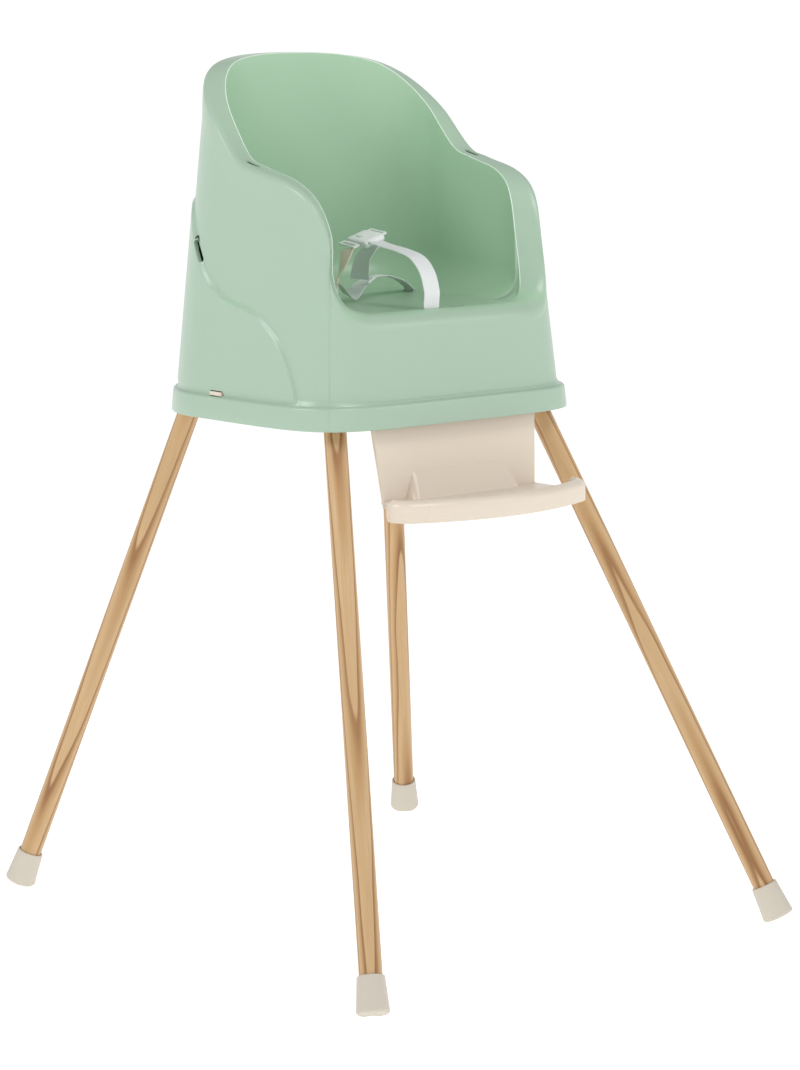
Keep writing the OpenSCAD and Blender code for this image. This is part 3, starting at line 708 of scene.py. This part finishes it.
def make_edge_highlight_bead():
    """Fine bead on the edge between the level band and the inner wall, in a lighter mint that
    is a painted highlight along that edge.
    """
    path, size = [], []
    for q, top in STATIONS:
        low = lowness(top)
        path.append(wall_point(q, top - 0.5, BAND_W - low - 0.4))
        size.append(BEAD_R * (1 - 0.7 * low))
    path, n, ring = np.array(path), len(STATIONS), 12
    run = np.roll(path, -1, 0) - np.roll(path, 1, 0)
    run /= np.linalg.norm(run, axis=1, keepdims=True)
    side = np.cross(run, [0, 0, 1])
    side /= np.linalg.norm(side, axis=1, keepdims=True)
    up = np.cross(side, run)
    verts = [path[i] + size[i] * (math.cos(a) * side[i] + math.sin(a) * up[i])
             for i in range(n) for a in np.linspace(0, 2 * math.pi, ring, endpoint=False)]
    piece("edge_highlight_bead", verts, grid_faces(n, ring, True, True), MINT_EDGE_HIGHLIGHT, "chair",
          60)


make_shell()
make_edge_highlight_bead()
make_slot_pockets()


# -------------------------------------------------------------------- legs

FOOT_SPAN = (536.0, 636.0)
LEG_GAP_X, FRONT_LEG_Y, REAR_LEG_Y = 265.0, 87.0, 166.0
LEG_R, CAP_LEN, CAP_TOP_R, CAP_SOLE_R = 11.5, 37.0, 13.8, 16.5
CAP_EDGE, CAP_FLOOR, SOLE_FLAT, SOLE_SHIFT = 3.0, 4.0, 1.2, -0.47
LEG_END_Z = SKIRT_Z + 55
# The eased end of a stick: how much thinner it is, how far from the end
STICK_END = ((1.5, 0.0), (0.4, 0.5), (0.0, 1.6))
LATHE_STEPS = 96
CORNERS = {"front_left": (-1, -1), "front_right": (1, -1),
           "rear_left": (-1, 1), "rear_right": (1, 1)}
HEART_SIDE = {"front_left": 60, "front_right": 48, "rear_left": 40, "rear_right": 85}


def leg_axis(corner):
    """Foot and direction of a leg, in millimetres."""
    cx, cy = corner
    top = np.array([cx * LEG_GAP_X / 2, -FRONT_LEG_Y if cy < 0 else REAR_LEG_Y, SKIRT_Z])
    plan = [cx * FOOT_SPAN[0] / 2, cy * FOOT_SPAN[1] / 2 + SOLE_SHIFT]
    d = unit(top - np.array([*plan, 5.0]))
    rise = ((CAP_SOLE_R - CAP_EDGE) * math.sqrt(1 - d[2] ** 2)
            + CAP_EDGE * (1 - d[2]) - SOLE_FLAT)
    foot = np.array([*plan, rise])
    return foot, unit(top - foot)


def lathe(name, corner, profile, material, sharp=35):
    """Turns a profile of (radius, distance up the leg) round a leg's axis."""
    foot, d = leg_axis(corner)
    turn = Vector((0, 0, 1)).rotation_difference(Vector(d)).to_matrix()
    verts = []
    for r, t in profile:
        for k in range(LATHE_STEPS):
            a = 2 * math.pi * k / LATHE_STEPS
            at = Vector(foot) + turn @ Vector((r * math.cos(a), r * math.sin(a), t))
            verts.append([at.x, at.y, max(at.z, 0.0)])
    faces = tube_faces(len(profile), LATHE_STEPS)
    return piece(name, verts, faces, material, "chair", sharp)


for seed, (where, corner) in enumerate(CORNERS.items(), 1):
    foot, d = leg_axis(corner)
    end = (LEG_END_Z - foot[2]) / d[2]
    low = CAP_FLOOR + 0.3
    stick = [(LEG_R - cut, low + up) for cut, up in STICK_END]
    stick += [(LEG_R, t) for t in np.linspace(low + 30, end - 30, 12)]
    stick += [(LEG_R - cut, end - up) for cut, up in reversed(STICK_END)]
    wood = pine("pine_" + where, d, foot * MM, seed, HEART_SIDE[where])
    leg = lathe("leg_stick_" + where, corner, stick, wood)
    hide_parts("leg_" + where)

    cap = [(1.0, 0.25), (6.0, 0.1), (CAP_SOLE_R - CAP_EDGE, 0.0)]
    cap += [(CAP_SOLE_R - CAP_EDGE * (1 - math.sin(a)), CAP_EDGE * (1 - math.cos(a)))
            for a in arc(6)[1:]]
    flare = CAP_TOP_R + 0.1
    for t in np.linspace(0.08, 0.92, 10):
        r = CAP_SOLE_R + (flare - CAP_SOLE_R) * (t ** 0.92)
        cap.append((r, CAP_EDGE + (CAP_LEN - 1.2 - CAP_EDGE) * t))
    cap += [(flare, CAP_LEN - 1.2), (flare - 0.25, CAP_LEN - 0.45), (flare - 0.9, CAP_LEN),
            (LEG_R + 0.5, CAP_LEN - 0.1), (LEG_R + 0.06, CAP_LEN - 0.7),
            (LEG_R + 0.05, CAP_LEN - 8)]
    shoe = lathe("cap_" + where, corner, cap, RUBBER, sharp=60)
    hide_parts("foot_" + where)


# ---------------------------------------------------------------- footrest

TREAD_HALF, TREAD_Z, LIP_RIM, TREAD_FRONT = 125.0, 446.0, 22.0, 213.0
TREAD_CORNER, TREAD_BOW, TREAD_BACK = 28.0, 32.0, -158.0
PANEL_TOP_HALF, PANEL_LOW_HALF, PANEL_LOW_Z = 107.0, 99.0, TREAD_Z + 6
PANEL_Y, PANEL_LEAN, PANEL_T, LIP_NOSE = -115.0, 0.12, 4.0, 8.0
PANEL_SOFT, HEEL_SOFT = 1.6, 7.0
RAIL_X, RAIL_W = 60.0, 14.0
FLOOR_Z, FLOOR_T = TREAD_Z + 10, 4.0
BOW_STEPS, CORNER_STEPS = 40, 18


def tread_front_at(x, half, front):
    """The bow of the tread's front edge."""
    return front + TREAD_BOW * (x / half) ** 2


def tread_edge(inset):
    """The whole front outline of the tread, left end to right end."""
    w, r = TREAD_HALF - inset, TREAD_CORNER - inset
    front = -TREAD_FRONT + inset
    # The corner's arc starts where it runs smoothly on from the bow
    x1 = w - r
    for _ in range(20):
        slope = 2 * TREAD_BOW * x1 / w ** 2
        x1 = w - r + r * slope / math.hypot(1, slope)
    y0 = tread_front_at(x1, w, front) + r / math.hypot(1, slope)
    start = -math.degrees(math.atan2(1, slope))
    bow = [x1 * k / BOW_STEPS for k in range(BOW_STEPS)]
    half = [(x, tread_front_at(x, w, front)) for x in bow]
    half += [(w - r + r * math.cos(math.radians(a)), y0 + r * math.sin(math.radians(a)))
             for a in np.linspace(start, 0, CORNER_STEPS)]
    half += [(w, y0 + (TREAD_BACK - y0) * t) for t in (0.25, 0.5, 0.75, 1.0)]
    left = [(-x, y) for x, y in half[:0:-1]]
    return np.array(left + half)


def make_lip():
    """The raised rim of the tread: a soft-edged section along its edge."""
    top, low, rim = TREAD_Z + LIP_RIM, TREAD_Z, 9.5
    ro, ri = 7.5, 1.8
    sec = [(rim + 0.6, FLOOR_Z + 1.0), (rim, low + 1.0), (rim - 0.8, low), (1.0, low),
           (0.3, low + 0.35), (0.0, low + 1.1)]
    sec += [(0.0, low + 6), (0.0, low + 10), (0.0, top - ro)]
    sec += [(ro * (1 - math.cos(a)), top - ro * (1 - math.sin(a))) for a in arc(7)[1:]]
    sec += [(rim - ri * (1 - math.sin(a)), top - ri * (1 - math.cos(a))) for a in arc(5)]
    fillet = 3.5
    floor = FLOOR_Z + FLOOR_T
    sec += [(rim + fillet * (1 - math.cos(a)), floor + 0.1 + fillet * (1 - math.sin(a)))
            for a in arc(6)]
    # The foot of the fillet dips under the top of the tread's floor
    sec += [(rim + fillet + 3, floor - 0.5), (rim + fillet + 3, FLOOR_Z + 1.0)]
    curves = [tread_edge(i) for i, _ in sec]
    n, m = len(curves[0]), len(sec)
    verts = []
    # The section closes in a round nose at both ends, along its outer side
    along = run_lengths(curves[9])
    middle, half_height = (top + low) / 2, (top - low) / 2
    for k in range(n):
        nose = falloff(min(along[k], along[-1] - along[k]), LIP_NOSE)
        for (i, z), c in zip(sec, curves):
            z = middle + (z - middle) * (half_height - nose) / half_height
            verts.append([c[k][0] - math.copysign(0.3 * nose, c[k][0]), c[k][1], z])
    piece("footrest_lip", verts, tube_faces(n, m), CREAM, "footrest", 40)


def make_tread_floor():
    """The plate of the tread with its ribs."""
    bm = bmesh.new()
    edge = [tuple(p) for p in tread_edge(8.6)]
    half = PANEL_LOW_HALF
    neck = [(half + 4, TREAD_BACK), (half, TREAD_BACK + 4), (half, -119.0),
            (-half, -119.0), (-half, TREAD_BACK + 4), (-half - 4, TREAD_BACK)]
    slab(bm, edge + neck, FLOOR_Z, FLOOR_Z + FLOOR_T, 0.9, 3)
    # Ribs under the tread
    for x in (-84, -42, 0, 42, 84):
        front, back = tread_front_at(x, TREAD_HALF, -TREAD_FRONT) + 6, -124
        rounded_box(bm, (1.8, back - front, 7), (x, (front + back) / 2, FLOOR_Z - 3),
                    radius=0.5)
    from_bmesh("footrest_tread", bm, CREAM, "footrest")


def panel_y_at(z):
    """Front face of the leaning panel at a height."""
    return PANEL_Y - PANEL_LEAN * (SKIRT_Z - z)


def make_footrest_panel():
    """The panel, then its stiffening flanges, rail tenons and snap teeth."""
    top_z = SKIRT_Z + 4
    n_x, n_z = 120, 60
    verts = []
    for side in (0, 1):
        for i in range(n_z + 1):
            t = i / n_z
            z = PANEL_LOW_Z + (top_z - PANEL_LOW_Z) * t
            half = PANEL_LOW_HALF + (PANEL_TOP_HALF - PANEL_LOW_HALF) * t
            for k in range(n_x + 1):
                u = 2 * k / n_x - 1
                x = half * math.sin(u * math.pi / 2)
                soft = falloff(half - abs(x), PANEL_SOFT)
                y = panel_y_at(z) + (PANEL_T - 0.4 * soft if side else soft)
                verts.append([x, y, z])
    m = n_x + 1
    per = (n_z + 1) * m
    faces = []
    for i in range(n_z):
        for k in range(n_x):
            a = i * m + k
            faces.append((a, a + 1, a + m + 1, a + m))
            b = per + a
            faces.append((b, b + m, b + m + 1, b + 1))
        for k in (0, n_x):
            a = i * m + k
            faces.append((a, a + m, per + a + m, per + a))
    for k in range(n_x):
        faces.append((k, per + k, per + k + 1, k + 1))
        a = n_z * m + k
        faces.append((a, a + 1, per + a + 1, per + a))
    panel = piece("footrest_panel", verts, faces, CREAM, "footrest", 40)
    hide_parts("footrest")

    bm = bmesh.new()
    for s in (-1, 1):
        lean = Matrix.Rotation(math.atan(-PANEL_LEAN), 4, "X")
        tilt = Matrix.Rotation(s * math.atan(8 / 85), 4, "Y")
        mid = (PANEL_LOW_Z + top_z) / 2
        place = (Matrix.Translation((s * (PANEL_LOW_HALF + PANEL_TOP_HALF - 36) / 2,
                                     panel_y_at(mid) + 8, mid)) @ lean @ tilt)
        rounded_box(bm, (3, 12, top_z - PANEL_LOW_Z - 1), matrix=place, radius=0.9)
        rounded_box(bm, (RAIL_W, 7, 54), (s * RAIL_X, -103.5, SKIRT_Z + 13), radius=1.0)
        rounded_box(bm, (RAIL_W, 11.5, 17), (s * RAIL_X, -108.6, SKIRT_Z - 5.5), radius=0.8)
    # Snap teeth at the upper ends of the tenons
    for s in (-1, 1):
        rounded_box(bm, (8, 2, 3), (s * RAIL_X, -107.2, SKIRT_Z + 36), radius=0.7)
    from_bmesh("footrest_tenons", bm, CREAM, "footrest")


def make_heel_pad():
    """Block between tread and panel, with soft shoulders and a hollow."""
    n_x, n_s = 96, 28
    z0, z1 = FLOOR_Z + 3.0, FLOOR_Z + 31.0
    front, back = -139.0, -120.2
    verts = []
    for i in range(n_s + 1):
        # A wedge that leans back until it runs out on the panel
        up = i / n_s
        z = z0 + (z1 - z0) * up
        y = front + (back - front) * up ** 1.15
        half = 72 - 11 * up
        for k in range(n_x + 1):
            u = 2 * k / n_x - 1
            x = half * math.sin(u * math.pi / 2)
            soft = falloff(half - abs(x), HEEL_SOFT)
            dip = 1.5 * math.exp(-((x + 50) / 10) ** 2) * math.sin(math.pi * up)
            away = (soft / HEEL_SOFT) * (back + 1 - y)
            verts.append([x, y + away + dip * (1 - up), z - 0.2 * soft])
        verts += [[half, back + 2.5, z], [-half, back + 2.5, z]]
    faces = tube_faces(n_s + 1, n_x + 3)
    piece("footrest_heel_pad", verts, faces, CREAM, "footrest", 60)


make_lip()
make_tread_floor()
make_footrest_panel()
make_heel_pad()


# ----------------------------------------------------------------- harness

WEB_W, WEB_T = 20.0, 1.4
BUCKLE_AT, BUCKLE_ROLL, BUCKLE_PITCH = (-16.0, 11.5, 711.0), -17.0, 6.0
BUCKLE_SIZE, TONGUE_Y = (26.0, 34.0, 8.0), 5.0
MOUTH_H, BUTTON_R, BUCKLE_SOFT = 3.0, 5.6, 2.6
AT_BUCKLE = placed(BUCKLE_AT, (BUCKLE_ROLL, "Y"), (BUCKLE_PITCH, "X"))
# Places across the webbing, from edge to edge, as shares of its half width
ACROSS = [-1, -0.985, -0.94, -0.86, -0.6, -0.3, 0, 0.3, 0.6, 0.86, 0.94, 0.985, 1]
EDGE_ROUND, HEM_AT, HEM_RISE = 0.05, 0.9, 0.12


def ribbon(name, points, across, body, material=WEB):
    """Webbing along a curve. across is its width direction, from end to end."""
    p = smooth(points, 14)
    n = len(p)
    key = np.linspace(0, 1, len(across))
    now = np.linspace(0, 1, n)
    a = np.stack([np.interp(now, key, [v[i] for v in across]) for i in range(3)], -1)
    run = np.gradient(p, axis=0)
    run /= np.linalg.norm(run, axis=1, keepdims=True)
    a -= (a * run).sum(1, keepdims=True) * run
    a /= np.linalg.norm(a, axis=1, keepdims=True)
    up = np.cross(a, run)
    along = run_lengths(p)
    ring = []
    for side in (1, -1):
        for u in ACROSS[::side]:
            edge = 1 - min(1, (1 - abs(u)) / EDGE_ROUND)
            hem = HEM_RISE * math.exp(-((abs(u) - HEM_AT) / EDGE_ROUND) ** 2)
            t = WEB_T / 2 * (math.sqrt(max(0, 1 - edge ** 2)) + hem)
            ring.append((u * WEB_W / 2, side * t))
    verts = [p[i] + a[i] * u + up[i] * t for i in range(n) for u, t in ring]
    weave = [(u, along[i], 0) for i in range(n) for u, _ in ring]
    mesh = bpy.data.meshes.new(name)
    mesh.from_pydata((np.array(verts) * MM).tolist(), [], tube_faces(n, len(ring)))
    attribute = mesh.attributes.new("weave", "FLOAT_VECTOR", "POINT")
    attribute.data.foreach_set("vector", np.array(weave, np.float32).ravel())
    obj = linked(name, mesh)
    finish_piece(obj, material, body, 60)
    return obj


crotch = ribbon("crotch_webbing", [
    (-16, -97, SEAT_Z - 12), (-16, -97.5, SEAT_Z + 4), (-16, -98, SEAT_Z + 18),
    (-16, -91, SEAT_Z + 36), (-16, -75, SEAT_Z + 50), (-16, -50, SEAT_Z + 56),
    (-16, -25, SEAT_Z + 59), (-16, -4.5, SEAT_Z + 62.3)], [(1, 0, 0)], "chair")
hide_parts("crotch_strap")
SLIDE_RIGHT, RIGHT_RUN, RIGHT_ACROSS = (14, 56, 661), (-0.88, -0.3, -0.37), (-0.3, 0.9, -0.28)
SLIDE_LEFT, LEFT_RUN, LEFT_ACROSS = (-48, 19, 666), (0.08, -0.15, 0.98), (0.62, 0.78, 0.07)
# From the pan over an arch, through the slide, down to the pan and up in a curl
waist_right = ribbon("waist_webbing_right", [
    (97, 84, SEAT_Z - 14), (97.5, 84.2, SEAT_Z - 1), (93, 82.6, SEAT_Z + 4),
    (86.6, 80.5, SEAT_Z + 8), (75.6, 76.8, SEAT_Z + 12.6), (62.8, 72.5, SEAT_Z + 16.2),
    (50, 68.2, SEAT_Z + 18.4), (37.3, 63.9, SEAT_Z + 18.7), (28.3, 60.9, SEAT_Z + 18.2),
    (19.3, 57.8, SEAT_Z + 16.2), (12.1, 55.4, SEAT_Z + 13), (3.1, 52.4, SEAT_Z + 8.5),
    (-3, 50.3, SEAT_Z + 4.5), (-9.5, 48.2, SEAT_Z + 2.3), (-15, 46.3, SEAT_Z + 4.5),
    (-21, 44.3, SEAT_Z + 10.5), (-26.8, 42.3, SEAT_Z + 17)],
    [(0.17, 0.98, 0), (0.17, 0.98, 0), (0.17, 0.98, 0), (0.1, 0.97, -0.1),
     (-0.1, 0.95, 0), (-0.1, 0.85, 0.35), (-0.1, 0.75, 0.6)], "chair")
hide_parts("waist_strap_right")
waist_left = ribbon("waist_webbing_left", [
    (-97, 84, SEAT_Z - 14), (-97.5, 84.2, SEAT_Z - 1), (-94, 79, SEAT_Z + 7),
    (-86, 66, SEAT_Z + 13), (-72, 46, SEAT_Z + 13), (-58, 28, SEAT_Z + 7),
    (-51, 21.5, SEAT_Z + 8), (-48.3, 19.3, SEAT_Z + 13), (-48, 19, SEAT_Z + 19)],
    [(-0.17, 0.98, 0), (0.2, 0.95, 0), LEFT_ACROSS], "chair")
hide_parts("waist_strap_left")
tail_right = ribbon("tail_webbing_right", [
    (4.5, 16, 713), (3, 19, 706), (-3, 22, 699), (-7, 27, 690), (-6, 33, 680),
    (-3, 39, 672), (1, 44.5, 666.5)], [(0, 1, 0.1), RIGHT_ACROSS], "tongue_right")
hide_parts("strap_tail_right")
tail_left = ribbon("tail_webbing_left", [
    (-36.5, 16, 701.5), (-40, 14, 695), (-44, 13, 687), (-46.5, 15, 680),
    (-47.3, 17, 675.5)], [(0, 1, 0.1), LEFT_ACROSS], "tongue_left", WEB_CREAM)
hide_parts("strap_tail_left")


def make_buckle():
    """Slim case with side mouths for the tongues and a well for the button."""
    w, l, t = BUCKLE_SIZE
    n = 40
    verts = []
    # Closed side profile, swept across with soft sides
    turns = [(-1, a) for a in np.linspace(90, 270, 15)]
    turns += [(1, a) for a in np.linspace(-90, 90, 15)]
    profile = [(end * (l / 2 - t / 2) + t / 2 * math.cos(math.radians(a)),
                t / 2 * math.sin(math.radians(a))) for end, a in turns]
    for k in range(n + 1):
        u = 2 * k / n - 1
        x = w / 2 * math.sin(u * math.pi / 2)
        shrink = falloff(w / 2 - abs(x), BUCKLE_SOFT)
        ky = (l / 2 - shrink) / (l / 2)
        kz = (t / 2 - shrink * 0.8) / (t / 2)
        verts += [tuple(AT_BUCKLE @ Vector((x, y * ky, z * kz))) for y, z in profile]
    case = piece("buckle_case", verts, tube_faces(n + 1, len(profile)), WHITE, "chair",
                 50)
    bm = bmesh.new()
    well = AT_BUCKLE @ Matrix.Translation((0, TONGUE_Y, 0))
    cutter_slab(bm, stadium(17.4, MOUTH_H), -20, 20,
                well @ placed((0, 0, 0), (90, "Y"), (90, "Z")))
    circle = [(BUTTON_R * math.cos(a), BUTTON_R * math.sin(a))
              for a in np.linspace(0, 2 * math.pi, 48, endpoint=False)]
    cutter_slab(bm, circle, -1, 7, well)
    carve(case, cutter_object("buckle_cutter", bm), "EXACT", WHITE, 40)
    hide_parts("buckle_body")


def make_adjuster(name, node, at, run, across, material):
    """Three-bar slide: two side rails, two end bars and a middle bar."""
    y = Vector(run).normalized()
    z = Vector(across).cross(y).normalized()
    place = Matrix((y.cross(z), y, z)).transposed().to_4x4()
    place.translation = at
    bm = bmesh.new()
    length, depth, thick, rail, bar = WEB_W + 7, 15.0, 2.6, 2.7, 2.1
    for s in (-1, 1):
        rounded_box(bm, (rail, depth, thick), (s * (length - rail) / 2, 0, 0), place, 1.0)
        rounded_box(bm, (length - 1, bar, thick), (0, s * (depth - bar) / 2, 0), place, 0.9)
    rounded_box(bm, (length - 1.5, 4.0, thick - 0.3), (0, 0, 0), place, 1.0)
    obj = from_bmesh(name, bm, material, "chair")
    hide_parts(node)


make_buckle()
make_adjuster("slide_right", "adjuster_right", SLIDE_RIGHT, RIGHT_RUN, RIGHT_ACROSS,
              WHITE)
make_adjuster("slide_left", "adjuster_left", SLIDE_LEFT, LEFT_RUN, LEFT_ACROSS,
              CREAM)


# ------------------------------------------------- carried-over CAD pieces

def dress(node, material, bevel):
    """Gives a CAD piece its look and, where bevel is set (mm), soft edges."""
    obj = NODES[node]
    obj.data.materials.clear()
    obj.data.materials.append(material)
    if bevel:
        b = obj.modifiers.new("soft edges", "BEVEL")
        b.width = bevel * MM
        b.segments = 2
        b.limit_method = "ANGLE"
        b.angle_limit = math.radians(40)


dress("leg_frame", CREAM, 0)
for side in ("left", "right"):
    dress("latch_" + side, CREAM, 0.8)
    dress("latch_spring_" + side, STEEL, 0)
    dress("tongue_" + side, WHITE, 0.5)
dress("crotch_anchor", WHITE, 0.5)
dress("waist_anchors", WHITE, 0.5)
dress("buckle_button", WHITE, 0.6)
dress("leg_bolts", STEEL, 0.3)
dress("leg_washers", STEEL, 0.2)
dress("leg_inserts", BRASS, 0.2)


# ------------------------------------------------------- floor and lighting

def make_floor():
    """White studio floor that glows a little, so its shadows stay faint."""
    m = Look("studio_floor")
    at = m.place()
    m.set(Base_Color=m.mix(m.noise(at, 3, 3), (0.60, 0.60, 0.60), (0.62, 0.62, 0.62)),
          Roughness=0.9, Specular_IOR_Level=0.1, Emission_Color=(1, 1, 1, 1),
          Emission_Strength=0.74)
    # In metres: half the side of the square, and a hair below the caps
    half, z = 200, -0.0005
    mesh = bpy.data.meshes.new("floor")
    mesh.from_pydata([(-half, -half, z), (half, -half, z), (half, half, z), (-half, half, z)],
                     [], [(0, 1, 2, 3)])
    floor = linked("floor", mesh)
    mesh.materials.append(m.mat)


def make_world():
    """A white studio: bright walls round the horizon, dimmer overhead."""
    world = bpy.data.worlds.new("studio")
    world.use_nodes = True
    tree = world.node_tree
    back = tree.nodes["Background"]
    coord = tree.nodes.new("ShaderNodeTexCoord")
    split = tree.nodes.new("ShaderNodeSeparateXYZ")
    ramp = tree.nodes.new("ShaderNodeValToRGB")
    tree.links.new(coord.outputs["Generated"], split.inputs[0])
    tree.links.new(split.outputs[2], ramp.inputs[0])
    tree.links.new(ramp.outputs[0], back.inputs[0])
    ramp.color_ramp.interpolation = "EASE"
    low, high = ramp.color_ramp.elements
    low.position, low.color = 0.14, (1, 1, 1, 1)
    high.position, high.color = 0.5, (0.4, 0.4, 0.4, 1)
    back.inputs[1].default_value = 1.03
    bpy.context.scene.world = world


def area_light(name, at, aim, size, watts):
    """A round soft light, unseen by the camera."""
    data = bpy.data.lights.new(name, "AREA")
    data.shape = "DISK"
    data.size = size
    data.energy = watts
    obj = linked(name, data)
    obj.location = at
    obj.rotation_euler = (Vector(aim) - Vector(at)).to_track_quat("-Z", "Y").to_euler()
    obj.visible_camera = False


make_floor()
make_world()
area_light("key", (-2.3, 0.5, 2.1), (0, 0, 0.6), 0.9, 20)
area_light("fill", (1.5, -2.4, 1.9), (0, 0, 0.6), 1.2, 9)
area_light("top", (-0.2, -1.6, 2.8), (0, 0, 0.5), 1.2, 22)

bpy.context.scene.view_settings.view_transform = "Standard"

camera_data = bpy.data.cameras.new("camera")
camera_data.lens = 116.15
camera_data.sensor_width = 36
camera_data.clip_end = 200
camera = linked("camera", camera_data)
# The camera's place and axes, as fitted to the photo
CAMERA_AT = Vector((-2.1936, -2.8383, 0.9974))
right, up, forward = (Vector((0.7881, -0.6155, -0.0080)), Vector((0.1075, 0.1248, 0.9863)),
                      Vector((0.6061, 0.7782, -0.1645)))
axes = Matrix((right, up, -forward)).transposed()
camera.matrix_world = Matrix.Translation(CAMERA_AT) @ axes.to_4x4()
bpy.context.scene.camera = camera
